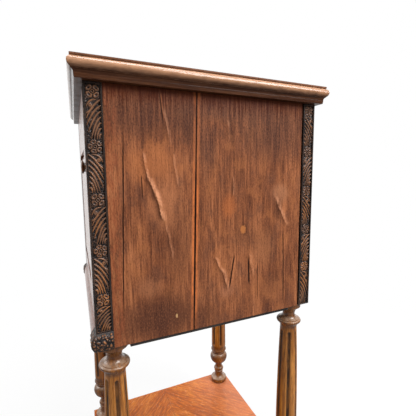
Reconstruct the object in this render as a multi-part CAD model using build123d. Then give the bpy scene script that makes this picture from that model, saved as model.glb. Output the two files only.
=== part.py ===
from build123d import *
import os

# Box of the table, in millimetres. The front faces -Y and the floor is at Z = 0.
box_width = 320.0
box_depth = 330.0
box_height = 318.0
leg_height = 330.0
foot_height = 58.0

# Clearances
rest_gap = 0.3
glue_gap = 0.05
pin_clearance = 0.05
door_gap = 1.5
tray_gap = 1.0
latch_gap = 0.8

# Boards and posts
strip_width = 20.5
strip_thickness = 4.0
strip_sink = 2.2
strip_margin = 2.0
post_size = 36.0
board_thickness = 12.0
front_seam = 0.3
rear_seam = 3.5
board_seam = 0.8
front_board_width = 114.7
front_board_foot_width = 106.2
back_board_width = 139.0
bottom_thickness = 4.0
bottom_inset = 1.0
rail_thickness = 18.0
top_rail_height = 42.0
bottom_rail_height = 32.0
rail_tenon_length = 10.0
rail_tenon_thickness = 8.0
rail_tenon_shoulder = 4.0

# Carved boss at the foot of each front corner
boss_height = 24.0
boss_drop = 1.5
boss_bulge = 5.5

# Apron above the door and swelled moulding between the bosses
apron_height = 33.0
moulding_bulge = 5.0

# Shelf, with four leaves of veneer that meet in the middle
shelf_overhang = 1.5
shelf_thickness = 17.0
shelf_round = 3.0
veneer_thickness = 1.0
veneer_seam = 0.1

# Turned leg: radius, drop below the box and how far the curve from the last point bows out
leg_tenon_diameter = 12.0
leg_tenon_top = 30.0
leg_tenon_foot = 24.0
shaft_top_radius = 13.6
shaft_foot_radius = 16.8
shaft_top_drop = 42.0
shaft_foot_rise = 97.0
flute_count = 6
flute_radius = 4.4
flute_depth = 2.0
flute_top_margin = 7.0
flute_foot_margin = 5.0
leg_turns = {"front_left": 12.0, "front_right": 0.0, "rear_left": -8.0, "rear_right": 28.0}
leg_head_profile = [
    (18.2, 0.0, 0),
    (10.4, 16.0, -2.4),
    (10.4, 20.0, 0),
    (16.0, 26.6, -1.6),
    (16.0, 27.4, 0),
    (17.4, 28.2, 0),
    (15.2, 37.0, 3.9),
    (15.2, 38.4, 0),
]
# The same for the foot of the leg, with the height above the shelf in place of the drop
leg_foot_profile = [
    (19.2, 88.6, -0.9),
    (19.2, 86.8, 0),
    (15.6, 82.6, 0),
    (15.6, 78.2, 0.9),
    (18.0, 76.4, 0),
    (21.5, 67.0, 1.0),
    (15.2, 53.6, 1.5),
    (8.4, 44.4, -1.2),
    (8.4, 41.2, 0),
    (9.4, 38.6, 0),
    (9.4, 29.0, 2.7),
    (10.8, 28.2, 0),
    (10.8, 25.6, 0),
    (9.2, 24.0, 0),
    (9.2, 19.0, 0),
    (17.8, 10.6, -2.2),
    (19.2, 9.6, 0),
    (19.2, 1.6, 0.7),
    (18.4, 0.0, 0),
]

# Turned foot: radius and drop below the shelf board, then radius and height above the floor
foot_head_profile = [(19.5, 0.0, 0), (19.5, 5.0, 0.8), (12.5, 12.0, -1.8), (12.5, 15.0, 0)]
foot_toe_profile = [(14.5, 12.0, 6.0), (15.5, 9.0, 0), (13.5, 0.0, 0)]

# Lid: distance out from the box face and height above the lid's underside
lid_frame_height = 9.6
lid_frame_inset = 34.0
lid_frame_edge = [(8.0, 0.0, 0), (8.6, 4.4, 0), (11.0, 8.8, 0.9), (11.0, 9.6, 0)]
lid_board_edge = [
    (11.4, 9.6, 0),
    (11.4, 20.8, -3.1),
    (10.6, 21.4, 0),
    (11.6, 22.2, 0),
    (11.6, 23.8, 0),
    (10.6, 24.6, 0),
]

# Butt hinges of the lid
hinge_length = 38.0
hinge_leaf_width = 13.0
hinge_leaf_thickness = 0.9
hinge_leaf_gap = 0.3
hinge_knuckle_radius = 2.5
hinge_pin_radius = 1.2
hinge_knuckle_gap = 0.2
lid_hinge_inset = 75.0

# Door
door_thickness = 14.0
door_margin = 1.0
stile_width = 36.0
door_top_rail_height = 36.0
door_bottom_rail_height = 42.0
door_tenon_length = 22.0
door_tenon_thickness = 5.0
panel_field = 4.0
panel_groove = 8.0
panel_slack = 1.0
panel_bevel = 70.0
pivot_radius = 2.0
pivot_depth = 8.0

# Knob with its spindle and latch tongue
knob_height = 224.5
knob_inset = 25.0
knob_profile = [(6.4, 0.0, 0), (6.0, 1.2, 0.2), (8.2, 2.4, -0.4), (7.2, 4.3, -0.6), (2.0, 5.0, -0.2)]
spindle_radius = 2.5
tongue_length = 19.0
tongue_width = 10.0
tongue_thickness = 1.8
tongue_standoff = 3.5

# Sewing tray
tray_drop = 9.0
tray_height = 52.0
tray_wall = 6.0
tray_floor_thickness = 4.0
tray_divider_height = 34.0
tray_divider_thickness = 4.0
tray_front_row = 114.0
tray_front_cells = 3
cleat_width = 14.0
cleat_height = 12.0
peg_count = 5
peg_radius = 2.2
peg_length = 26.0
peg_depth = 2.0

# Places that follow from the sizes above
half_x = box_width / 2
half_y = box_depth / 2
shelf_top = foot_height + shelf_thickness + veneer_thickness
box_bottom = shelf_top + leg_height
box_top = box_bottom + box_height
lid_bottom = box_top + rest_gap
post_inset = strip_thickness + post_size / 2
leg_x = half_x - post_inset
leg_y = half_y - post_inset
post_inner_x = leg_x - post_size / 2
post_inner_y = leg_y - post_size / 2
strip_inner_x = half_x - strip_width
strip_inner_y = half_y - strip_width
bottom_notch = post_inset + leg_head_profile[0][0] + rest_gap
door_back = -half_y + door_thickness
door_seat = door_back + rest_gap
boss_top = box_bottom + boss_height - boss_drop
tray_top = box_top - tray_drop
tray_bottom = tray_top - tray_height
corners = {"front_left": (-1, -1), "front_right": (1, -1), "rear_left": (-1, 1), "rear_right": (1, 1)}
nodes = {}


def block(x_range, y_range, z_range):
    """A box between two corners, whichever way round the ends are given."""
    sizes = [abs(b - a) for a, b in (x_range, y_range, z_range)]
    middle = [(a + b) / 2 for a, b in (x_range, y_range, z_range)]
    return Pos(*middle) * Box(*sizes)


def rod(radius, length):
    """A round bar that stands on its end."""
    return Cylinder(radius, length, align=(Align.CENTER, Align.CENTER, Align.MIN))


def outline(points):
    """Lines and arcs through the points, each arc bowed by the third value of its end."""
    edges = []
    for start, end in zip(points, points[1:]):
        if end[2]:
            edges.append(SagittaArc(start[:2], end[:2], end[2]))
        else:
            edges.append(Line(start[:2], end[:2]))
    return edges


def closed_face(points):
    return make_face(outline(points + [(points[0][0], points[0][1], 0)]))


def turned(profile):
    """A turned solid whose outline runs through radius and height pairs."""
    face = closed_face([(0, profile[0][1], 0), *profile, (0, profile[-1][1], 0)])
    return revolve(Plane.XZ * face, Axis.Z)


def prism(points, bottom, top):
    """An upright prism on a plan outline."""
    face = make_face(Polyline(*points, close=True))
    return Pos(0, 0, bottom) * extrude(face, amount=top - bottom, dir=(0, 0, 1))


def post(side, end):
    """Corner post with a rebate for the side board and one for the back boards or the door."""
    x_out = side * (half_x - strip_thickness)
    y_out = end * (half_y - strip_thickness)
    x_in = side * post_inner_x
    y_in = end * post_inner_y
    body = block((x_in, x_out), (y_in, y_out), (box_bottom, box_top))
    seat_x = side * (half_x - board_thickness)
    seat_y = half_y - board_thickness if end > 0 else door_seat
    body -= block((seat_x, x_out), (y_in, end * strip_inner_y), (box_bottom, box_top))
    body -= block((x_in, side * strip_inner_x), (seat_y, y_out), (box_bottom, box_top))
    hole = rod(leg_tenon_diameter / 2 + glue_gap, leg_tenon_top + glue_gap)
    body -= Pos(side * leg_x, end * leg_y, box_bottom) * hole
    return body


def strip(side, end, on_side, bottom):
    """Corner strip with a mitred outer edge and a sunk ground for the carving."""
    corner = Vector(side * half_x, end * half_y)
    along = Vector(0, -end) if on_side else Vector(-side, 0)
    inward = Vector(-side, 0) if on_side else Vector(0, -end)

    def place(across, depth):
        point = corner + along * across + inward * depth
        return (point.X, point.Y)

    thick = strip_thickness
    plan = [place(0, 0), place(strip_width, 0), place(strip_width, thick), place(thick, thick)]
    body = prism(plan, bottom, box_top)
    near, far = strip_margin, strip_width - strip_margin
    ground = [place(near, 0), place(far, 0), place(far, strip_sink), place(near, strip_sink)]
    return body - prism(ground, bottom + strip_margin, box_top - strip_margin)


def corner_boss(side):
    """Carved cushion that wraps the foot of a front corner, over the post and under the strips."""
    low, high = box_bottom - boss_drop, boss_top
    swells = []
    for inner, outer in ((strip_inner_x, half_x), (strip_inner_y, half_y)):
        points = [(inner, low, 0), (outer, low, 0), (outer, high, -boss_bulge), (inner, high, 0)]
        swells.append(closed_face(points))
    reach = 2 * half_y
    body = extrude(Plane.XZ * swells[0], amount=reach, both=True)
    body &= extrude(Plane.YZ * swells[1], amount=reach, both=True)
    core = block((0, half_x - strip_thickness), (0, half_y - strip_thickness), (box_bottom, high))
    leg_top = Pos(leg_x, leg_y, box_bottom) * Cylinder(leg_head_profile[0][0] + rest_gap, 4 * boss_drop)
    body = body - core - leg_top
    return mirrored(body, side, -1)


def mirrored(shape, side, end):
    """The same shape moved to another corner by mirroring."""
    if side < 0:
        shape = mirror(shape, Plane.YZ)
    if end < 0:
        shape = mirror(shape, Plane.XZ)
    return shape


def leg():
    """Turned leg from its upper tenon to its lower one, with stopped flutes round the shaft."""
    shaft_foot = leg_height - shaft_foot_rise
    profile = [(radius, -drop, bow) for radius, drop, bow in leg_head_profile]
    profile += [(shaft_top_radius, -shaft_top_drop, -0.5), (shaft_foot_radius, -shaft_foot, 0)]
    profile += [(radius, rise - leg_height, bow) for radius, rise, bow in leg_foot_profile]
    body = turned(profile)
    flute_start = shaft_top_drop + flute_top_margin
    flute_end = shaft_foot - flute_foot_margin
    slope = (shaft_foot_radius - shaft_top_radius) / (shaft_foot - shaft_top_drop)
    ends = []
    for drop in (flute_start + flute_radius, flute_end - flute_radius):
        surface = shaft_top_radius + slope * (drop - shaft_top_drop)
        ends.append(Vector(surface + flute_radius - flute_depth, 0, -drop))
    run = ends[1] - ends[0]
    cutter = Plane(ends[0], z_dir=run) * rod(flute_radius, run.length)
    for end in ends:
        cutter += Pos(end) * Sphere(flute_radius)
    for number in range(flute_count):
        body -= Rot(0, 0, 360 / flute_count * number) * cutter
    tenon_foot = veneer_thickness + shelf_thickness + leg_tenon_foot
    upper = rod(leg_tenon_diameter / 2, leg_tenon_top)
    lower = rod(leg_tenon_diameter / 2, tenon_foot)
    return body + upper + Pos(0, 0, -leg_height - tenon_foot) * lower


def moulded_slab(edge):
    """A slab over the whole box whose four edges follow one profile and meet in mitres."""
    def span(half, plane):
        points = [(half + out, rise, bow) for out, rise, bow in edge]
        face = closed_face([(0, points[0][1], 0), *points, (0, points[-1][1], 0)])
        return extrude(plane * face, amount=2 * half_y, both=True)

    along_x = span(half_x, Plane.XZ)
    along_x += mirror(along_x, Plane.YZ)
    along_y = span(half_y, Plane.YZ)
    along_y += mirror(along_y, Plane.XZ)
    return Pos(0, 0, lid_bottom) * (along_x & along_y)


def hinge():
    """Butt hinge along X, its fixed leaf below the pin, its moving leaf above, both towards -Y."""
    third = hinge_length / 3
    leaves = []
    for side, middles in ((-1, (-third, third)), (1, (0.0,))):
        face = side * hinge_leaf_gap / 2
        back = face + side * hinge_leaf_thickness
        clear = -hinge_knuckle_radius - hinge_knuckle_gap
        leaf = block((-hinge_length / 2, hinge_length / 2), (-hinge_leaf_width, clear), (face, back))
        bore = hinge_pin_radius + pin_clearance
        for middle in middles:
            reach = third / 2 - hinge_knuckle_gap / 2
            leaf += block((middle - reach, middle + reach), (clear, 0), (face, back))
            leaf += Pos(middle, 0, 0) * Rot(0, 90, 0) * Cylinder(hinge_knuckle_radius, 2 * reach)
        leaf -= Rot(0, 90, 0) * Cylinder(bore, 2 * hinge_length)
        leaves.append(leaf)
    pin = Rot(0, 90, 0) * Cylinder(hinge_pin_radius, hinge_length)
    return leaves[0], leaves[1], pin


# Posts, strips and corner bosses
for name, (side, end) in corners.items():
    nodes[f"post_{name}"] = post(side, end)
    side_name = "right" if side > 0 else "left"
    end_name = "rear" if end > 0 else "front"
    foot = box_bottom if end > 0 else boss_top
    nodes[f"strip_{side_name}_side_{end_name}"] = strip(side, end, True, foot)
    nodes[f"strip_{end_name}_{side_name}"] = strip(side, end, False, foot)
    if end < 0:
        nodes[f"boss_{name}"] = corner_boss(side)

# Boards of the two sides and the back
side_start = -strip_inner_y + front_seam
side_end = strip_inner_y - rear_seam
split_foot = side_start + front_board_foot_width
split_top = side_start + front_board_width
side_boards = {
    "front": [
        (side_start, box_bottom),
        (split_foot, box_bottom),
        (split_top, box_top),
        (side_start, box_top),
    ],
    "rear": [
        (split_foot + board_seam, box_bottom),
        (side_end, box_bottom),
        (side_end, box_top),
        (split_top + board_seam, box_top),
    ],
}
for end_name, points in side_boards.items():
    face = Plane.YZ * make_face(Polyline(*points, close=True))
    board = Pos(half_x - board_thickness, 0, 0) * extrude(face, amount=board_thickness, dir=(1, 0, 0))
    for side, side_name in ((-1, "left"), (1, "right")):
        nodes[f"side_board_{side_name}_{end_name}"] = mirrored(board, side, 1)
back_start = -strip_inner_x + front_seam
back_end = strip_inner_x - front_seam
back_split = back_start + back_board_width
back_range = (half_y - board_thickness, half_y)
back_left = block((back_start, back_split), back_range, (box_bottom, box_top))
back_right = block((back_split + board_seam, back_end), back_range, (box_bottom, box_top))

# Bottom board, nailed under the box between the legs
bottom_x = half_x - bottom_inset
bottom_y = half_y - bottom_inset
bottom = block((-bottom_x, bottom_x), (-bottom_y, bottom_y), (box_bottom - bottom_thickness, box_bottom))
for side, end in corners.values():
    x_range = (side * (half_x - bottom_notch), side * half_x)
    y_range = (end * (half_y - bottom_notch), end * half_y)
    bottom -= block(x_range, y_range, (box_bottom - bottom_thickness, box_bottom))
nodes["bottom_board"] = bottom

# Front rails, tenoned into the front posts
for name, low, high in (
    ("front_top_rail", box_top - top_rail_height, box_top),
    ("front_bottom_rail", box_bottom, box_bottom + bottom_rail_height),
):
    y_range = (door_seat, door_seat + rail_thickness)
    rail = block((-post_inner_x, post_inner_x), y_range, (low, high))
    tenon_mid = door_seat + rail_thickness / 2
    tenon_y = (tenon_mid - rail_tenon_thickness / 2, tenon_mid + rail_tenon_thickness / 2)
    tenon_z = (low + rail_tenon_shoulder, high - rail_tenon_shoulder)
    for side, post_name in ((-1, "post_front_left"), (1, "post_front_right")):
        tenon = block((side * post_inner_x, side * (post_inner_x + rail_tenon_length)), tenon_y, tenon_z)
        rail += tenon
        nodes[post_name] -= tenon
    nodes[name] = rail

# Apron and swelled moulding in front of the rails, between the strips and the bosses
front_x = strip_inner_x - rest_gap
apron_bottom = box_top - apron_height
apron = block((-front_x, front_x), (-half_y, door_seat), (apron_bottom, box_top))
swell = [
    (-door_seat, box_bottom, 0),
    (half_y, box_bottom, 0),
    (half_y, boss_top, -moulding_bulge),
    (-door_seat, boss_top, 0),
]
moulding = mirrored(extrude(Plane.YZ * closed_face(swell), amount=front_x, both=True), 1, -1)

# Legs, shelf with its veneer, and feet
one_leg = leg()
foot_outline = [(radius, -drop, bow) for radius, drop, bow in foot_head_profile]
foot_outline += [(radius, rise - foot_height, bow) for radius, rise, bow in foot_toe_profile]
one_foot = turned(foot_outline)
tenon_hole = Cylinder(leg_tenon_diameter / 2 + glue_gap, 2 * (leg_tenon_foot + glue_gap))
one_foot -= tenon_hole
shelf_x = half_x + shelf_overhang
shelf_y = half_y + shelf_overhang
shelf = block((-shelf_x, shelf_x), (-shelf_y, shelf_y), (foot_height, foot_height + shelf_thickness))
shelf = fillet(shelf.edges().group_by(Axis.Z)[0], shelf_round)
through = [Pos(side * leg_x, end * leg_y, foot_height) * tenon_hole for side, end in corners.values()]
for hole in through:
    shelf -= hole
nodes["shelf_board"] = shelf
seam_slope = shelf_y / shelf_x
leaf_x = shelf_x - veneer_seam
leaf_y = shelf_y - veneer_seam
leaf_plans = []
for sign in (-1, 1):
    edge_x, edge_y = sign * shelf_x, sign * shelf_y
    tip_x, tip_y = sign * veneer_seam / seam_slope, sign * veneer_seam * seam_slope
    leaf_plans.append([(-leaf_x, edge_y), (leaf_x, edge_y), (0, tip_y)])
    leaf_plans.append([(edge_x, -leaf_y), (edge_x, leaf_y), (tip_x, 0)])
leaves = []
for leaf_plan in leaf_plans:
    leaf = prism(leaf_plan, foot_height + shelf_thickness, shelf_top)
    for hole in through:
        leaf -= hole
    leaves.append(leaf)
nodes["shelf_veneer"] = Compound(children=leaves)
for name, (side, end) in corners.items():
    nodes[f"leg_{name}"] = Pos(side * leg_x, end * leg_y, box_bottom) * Rot(0, 0, leg_turns[name]) * one_leg
    nodes[f"foot_{name}"] = Pos(side * leg_x, end * leg_y, foot_height) * one_foot

# Lid board on a mitred frame of moulding
nodes["lid_board"] = moulded_slab(lid_board_edge)
frame = moulded_slab(lid_frame_edge)
inner_x = half_x - lid_frame_inset
inner_y = half_y - lid_frame_inset
outer_x = half_x + lid_frame_inset
outer_y = half_y + lid_frame_inset
frame_z = (lid_bottom, lid_bottom + lid_frame_height)
outer = [(-outer_x, -outer_y), (outer_x, -outer_y), (outer_x, outer_y), (-outer_x, outer_y)]
inner = [(-inner_x, -inner_y), (inner_x, -inner_y), (inner_x, inner_y), (-inner_x, inner_y)]
for number, name in enumerate(("front", "right", "rear", "left")):
    after = (number + 1) % 4
    quarter = prism([outer[number], outer[after], inner[after], inner[number]], *frame_z)
    nodes[f"lid_moulding_{name}"] = frame & quarter

# Lid hinges, let into the back boards and the rear moulding
fixed_leaf, moving_leaf, pin = hinge()
lid_axis_y = half_y + hinge_knuckle_radius + rest_gap
lid_axis_z = box_top + rest_gap / 2
leaf_depth = hinge_leaf_gap / 2 + hinge_leaf_thickness
pins = []
for side, name in ((-1, "left"), (1, "right")):
    middle = side * (half_x - lid_hinge_inset)
    seat = Pos(middle, lid_axis_y, lid_axis_z)
    nodes[f"lid_hinge_box_leaf_{name}"] = seat * fixed_leaf
    nodes[f"lid_hinge_lid_leaf_{name}"] = seat * moving_leaf
    pins.append(seat * pin)
    x_range = (middle - hinge_length / 2, middle + hinge_length / 2)
    leaf_z = (lid_axis_z - leaf_depth, lid_axis_z + leaf_depth)
    pocket = block(x_range, (lid_axis_y - hinge_leaf_width, lid_axis_y), leaf_z)
    back_left -= pocket
    back_right -= pocket
    rear = nodes["lid_moulding_rear"] - pocket
    room = hinge_knuckle_radius + rest_gap
    wide = (x_range[0] - rest_gap, x_range[1] + rest_gap)
    knuckle_room = block(wide, (lid_axis_y - room, lid_axis_y + room), (lid_axis_z - room, lid_axis_z + room))
    nodes["lid_moulding_rear"] = rear - knuckle_room
nodes["hinge_pins"] = Compound(children=pins)
nodes["back_board_left"] = back_left
nodes["back_board_right"] = back_right

# Door: two stiles, two tenoned rails and a raised panel held in grooves
door_x = strip_inner_x - door_gap
door_low = boss_top + door_margin
door_high = apron_bottom - door_margin
door_y = (-half_y, door_back)
door_middle = (door_y[0] + door_y[1]) / 2
tongue_y = (door_middle - door_tenon_thickness / 2, door_middle + door_tenon_thickness / 2)
opening_x = door_x - stile_width
opening_low = door_low + door_bottom_rail_height
opening_high = door_high - door_top_rail_height
pivot_x = -door_x + door_thickness / 2
stiles = {}
for side, name in ((-1, "left"), (1, "right")):
    outer_x = door_x if side > 0 else pivot_x
    stile = block((side * opening_x, outer_x), door_y, (door_low, door_high))
    if side < 0:
        stile += Pos(pivot_x, door_middle, door_low) * rod(door_thickness / 2, door_high - door_low)
    groove_x = (side * opening_x, side * (opening_x + panel_groove))
    groove_z = (opening_low - panel_groove, opening_high + panel_groove)
    stiles[side] = stile - block(groove_x, tongue_y, groove_z)
for name, low, high in (("bottom", door_low, opening_low), ("top", opening_high, door_high)):
    rail = block((-opening_x, opening_x), door_y, (low, high))
    inner_edge = high if name == "bottom" else low
    depth = -panel_groove if name == "bottom" else panel_groove
    rail -= block((-opening_x, opening_x), tongue_y, (inner_edge, inner_edge + depth))
    tenon_z = (low + panel_groove, high - panel_groove)
    for side in (-1, 1):
        tenon = block((side * opening_x, side * (opening_x + door_tenon_length)), tongue_y, tenon_z)
        rail += tenon
        stiles[side] -= tenon
    nodes[f"door_{name}_rail"] = rail
reach = panel_groove - panel_slack
panel_x = opening_x + reach
panel_z = (opening_low - reach, opening_high + reach)
panel = block((-panel_x, panel_x), tongue_y, panel_z)
field = Plane((0, tongue_y[0], (opening_low + opening_high) / 2), x_dir=(1, 0, 0), z_dir=(0, -1, 0))
field_face = field * Rectangle(2 * opening_x - 2 * panel_slack, opening_high - opening_low - 2 * panel_slack)
panel += extrude(field_face, amount=panel_field, taper=panel_bevel)
nodes["door_panel"] = panel

# Pins in the apron and the moulding, on which the rounded edge of the left stile turns
pin_length = 2 * pivot_depth + door_margin
pivots = []
for start in (door_low - door_margin - pivot_depth, door_high - pivot_depth):
    foot = Pos(pivot_x, door_middle, start)
    pivots.append(foot * rod(pivot_radius, pin_length))
    apron -= foot * rod(pivot_radius + glue_gap, pin_length)
    moulding -= foot * rod(pivot_radius + glue_gap, pin_length)
    bore = rod(pivot_radius + pin_clearance, pin_length + 2 * rest_gap)
    stiles[-1] -= Pos(0, 0, -rest_gap) * foot * bore
nodes["door_pivots"] = Compound(children=pivots)
nodes["front_apron"] = apron
nodes["front_base_moulding"] = moulding

# Knob on a spindle through the right stile; the tongue turns into a slot in the post
knob_x = door_x - knob_inset
knob_z = box_bottom + knob_height
knob_seat = Plane((knob_x, -half_y - rest_gap, knob_z), x_dir=(1, 0, 0), z_dir=(0, -1, 0))
spindle_length = door_thickness + rest_gap + tongue_standoff + tongue_thickness
spindle_hole = Cylinder(spindle_radius + pin_clearance, 4 * door_thickness)
stiles[1] -= knob_seat * spindle_hole
knob = turned(knob_profile)
socket_depth = knob_profile[1][1]
knob -= Cylinder(spindle_radius + glue_gap, 2 * socket_depth)
nodes["door_knob"] = knob_seat * knob
spindle = rod(spindle_radius, spindle_length + socket_depth)
tongue_plan = SlotCenterToCenter(tongue_length - tongue_width / 2, tongue_width)
tongue_plan = Rot(0, 0, -90) * Pos((tongue_length - tongue_width / 2) / 2, 0, 0) * tongue_plan
tongue = Pos(0, 0, -spindle_length) * extrude(tongue_plan, amount=tongue_thickness)
latch = Pos(0, 0, -spindle_length) * spindle + tongue
nodes["door_latch"] = knob_seat * latch
slot_start = door_back + tongue_standoff - latch_gap
slot = Plane((knob_x, slot_start, knob_z), x_dir=(1, 0, 0), z_dir=(0, 1, 0))
nodes["post_front_right"] -= slot * rod(tongue_length + latch_gap, tongue_thickness + 2 * latch_gap)
nodes["door_left_stile"] = stiles[-1]
nodes["door_right_stile"] = stiles[1]

# Sewing tray on two cleats that run between the posts
tray_x = post_inner_x - tray_gap
tray_front = door_seat + rail_thickness + tray_gap
tray_rear = half_y - board_thickness - tray_gap
cleats = []
for side in (-1, 1):
    x_range = (side * (post_inner_x - cleat_width), side * post_inner_x)
    y_range = (door_seat + rail_thickness, half_y - board_thickness)
    cleats.append(block(x_range, y_range, (tray_bottom - cleat_height, tray_bottom)))
nodes["tray_cleats"] = Compound(children=cleats)
floor_top = tray_bottom + tray_floor_thickness
floor = block((-tray_x, tray_x), (tray_front, tray_rear), (tray_bottom, floor_top))
walls = []
for side in (-1, 1):
    wall_x = (side * (tray_x - tray_wall), side * tray_x)
    walls.append(block(wall_x, (tray_front, tray_rear), (floor_top, tray_top)))
inside_x = tray_x - tray_wall
inside_front = tray_front + tray_wall
inside_rear = tray_rear - tray_wall
walls.append(block((-inside_x, inside_x), (tray_front, inside_front), (floor_top, tray_top)))
walls.append(block((-inside_x, inside_x), (inside_rear, tray_rear), (floor_top, tray_top)))
nodes["tray_walls"] = Compound(children=walls)
row_y = inside_front + tray_front_row
half_divider = tray_divider_thickness / 2
divider_z = (floor_top, floor_top + tray_divider_height)
dividers = [block((-inside_x, inside_x), (row_y - half_divider, row_y + half_divider), divider_z)]
cell_width = 2 * inside_x / tray_front_cells
for number in range(1, tray_front_cells):
    at = -inside_x + number * cell_width
    at_x = (at - half_divider, at + half_divider)
    dividers.append(block(at_x, (inside_front, row_y - half_divider), divider_z))
dividers.append(block((-half_divider, half_divider), (row_y + half_divider, inside_rear), divider_z))
nodes["tray_dividers"] = Compound(children=dividers)
pegs = []
peg_y = (row_y + inside_rear) / 2
for number in range(peg_count):
    at = half_divider + (number + 0.5) * (inside_x - half_divider) / peg_count
    pegs.append(Pos(at, peg_y, floor_top - peg_depth) * rod(peg_radius, peg_length + peg_depth))
    floor -= Pos(at, peg_y, floor_top) * Cylinder(peg_radius + glue_gap, 2 * peg_depth)
nodes["tray_floor"] = floor
nodes["tray_pegs"] = Compound(children=pegs)

os.makedirs("parts", exist_ok=True)
for name, shape in nodes.items():
    export_step(shape, f"parts/{name}.step")
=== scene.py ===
import math
import bmesh
import bpy
import numpy as np
from mathutils import Matrix, Vector


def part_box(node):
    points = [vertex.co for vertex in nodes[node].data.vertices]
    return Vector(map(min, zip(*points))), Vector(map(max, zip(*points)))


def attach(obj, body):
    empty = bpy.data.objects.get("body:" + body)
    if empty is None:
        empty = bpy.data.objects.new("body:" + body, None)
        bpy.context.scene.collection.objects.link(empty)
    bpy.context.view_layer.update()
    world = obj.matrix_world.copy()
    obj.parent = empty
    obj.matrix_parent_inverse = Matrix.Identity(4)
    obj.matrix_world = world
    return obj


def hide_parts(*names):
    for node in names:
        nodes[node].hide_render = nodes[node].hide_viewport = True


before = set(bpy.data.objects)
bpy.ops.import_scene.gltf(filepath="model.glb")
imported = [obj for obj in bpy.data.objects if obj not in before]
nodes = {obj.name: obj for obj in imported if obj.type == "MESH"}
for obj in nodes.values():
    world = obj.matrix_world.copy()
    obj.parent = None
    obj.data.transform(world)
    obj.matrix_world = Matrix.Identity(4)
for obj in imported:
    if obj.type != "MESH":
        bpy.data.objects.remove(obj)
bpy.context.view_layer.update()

print("solids loaded:", len(nodes))


class Wire:
    # a socket in a node tree; sums on wires add Math nodes
    def __init__(self, tree, socket=None):
        self.tree = tree
        self.socket = socket

    def feed(self, target, value):
        if isinstance(value, Wire):
            self.tree.links.new(value.socket, target)
        elif isinstance(value, list):
            for each in value:
                self.feed(target, each)
        elif isinstance(value, tuple) and len(value) == 3 and len(target.default_value) == 4:
            target.default_value = (*value, 1.0)
        else:
            target.default_value = value

    def node(self, kind, sockets=None, out=0, **settings):
        made = self.tree.nodes.new(kind)
        for key, value in settings.items():
            if key == "stops":
                ramp = made.color_ramp
                while len(ramp.elements) < len(value):
                    ramp.elements.new(1.0)
                for element, (place, colour) in zip(ramp.elements, value):
                    element.position = place
                    element.color = (*colour, 1.0)
            else:
                setattr(made, key, value)
        for key, value in (sockets or {}).items():
            self.feed(made.inputs[key], value)
        return Wire(self.tree, made.outputs[out] if len(made.outputs) else None)

    def maths(self, operation, first, second=0.0):
        return self.node("ShaderNodeMath", {0: first, 1: second}, operation=operation)

    def vector(self, operation, first, second, out=0):
        return self.node("ShaderNodeVectorMath", {0: first, 1: second}, out, operation=operation)

    def __add__(self, other):
        return self.maths("ADD", self, other)

    def __radd__(self, other):
        return self.maths("ADD", other, self)

    def __sub__(self, other):
        return self.maths("SUBTRACT", self, other)

    def __rsub__(self, other):
        return self.maths("SUBTRACT", other, self)

    def __mul__(self, other):
        return self.maths("MULTIPLY", self, other)

    def __rmul__(self, other):
        return self.maths("MULTIPLY", other, self)

    def __truediv__(self, other):
        return self.maths("DIVIDE", self, other)

    def __rtruediv__(self, other):
        return self.maths("DIVIDE", other, self)

    def __pow__(self, other):
        return self.maths("POWER", self, other)

    def size(self):
        return self.maths("ABSOLUTE", self)

    def most(self, other):
        return self.maths("MAXIMUM", self, other)

    def over(self, limit):
        return self.maths("GREATER_THAN", self, limit)

    def axis(self, name):
        return self.node("ShaderNodeSeparateXYZ", {0: self}, name)

    def ease(self, low, high):
        # smooth step from 0 at low to 1 at high
        sockets = {"Value": self, "From Min": low, "From Max": high}
        return self.node("ShaderNodeMapRange", sockets, interpolation_type="SMOOTHSTEP")

    def fall(self, low, high):
        return 1.0 - self.ease(low, high)

    def blend(self, first, second):
        # self is the share of the second colour
        sockets = {0: self, 6: first, 7: second}
        return self.node("ShaderNodeMix", sockets, 2, data_type="RGBA", clamp_factor=True)

    def choose(self, first, second):
        # self is the share of the second number
        return self.node("ShaderNodeMix", {0: self, 2: first, 3: second}, data_type="FLOAT")

    def ramp(self, stops):
        return self.node("ShaderNodeValToRGB", {"Fac": self}, stops=stops)


def tone(red, green, blue):
    # a screen colour, 0 to 255, as linear light
    return tuple((value / 255) ** 2.2 for value in (red, green, blue))


def newMaterial(name):
    material = bpy.data.materials.new(name)
    material.use_nodes = True
    material.node_tree.nodes.clear()
    wire = Wire(material.node_tree)
    return material, wire, wire.node("ShaderNodeTexCoord", out="Object")


def closeMaterial(wire, sockets):
    shader = wire.node("ShaderNodeBsdfPrincipled", sockets)
    wire.node("ShaderNodeOutputMaterial", {"Surface": shader})


def drawn(axis, across, along):
    # texture scale per metre, with the grain drawn out along one axis
    return tuple(along if name == axis else across for name in "XYZ")


def noise(wire, place, scale, detail=2.0, shift=0.0):
    sockets = {"Vector": place, "Scale": scale, "Location": (shift, shift, shift)}
    spread = wire.node("ShaderNodeMapping", sockets)
    sockets = {"Vector": spread, "Scale": 1.0, "Detail": detail, "Roughness": 0.6}
    return wire.node("ShaderNodeTexNoise", sockets)


def patches(wire, place, scale, detail, shift, low, high):
    # noise made into patches: 0 below low, 1 above high
    return noise(wire, place, scale, detail, shift).ease(low, high)


def lay(colour, coats, masks):
    # coats over a colour, each where its mask says; a coat is its share and its tone
    for name, mask in masks.items():
        share, shade = coats[name]
        colour = (mask * share).blend(colour, shade)
    return colour


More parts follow.
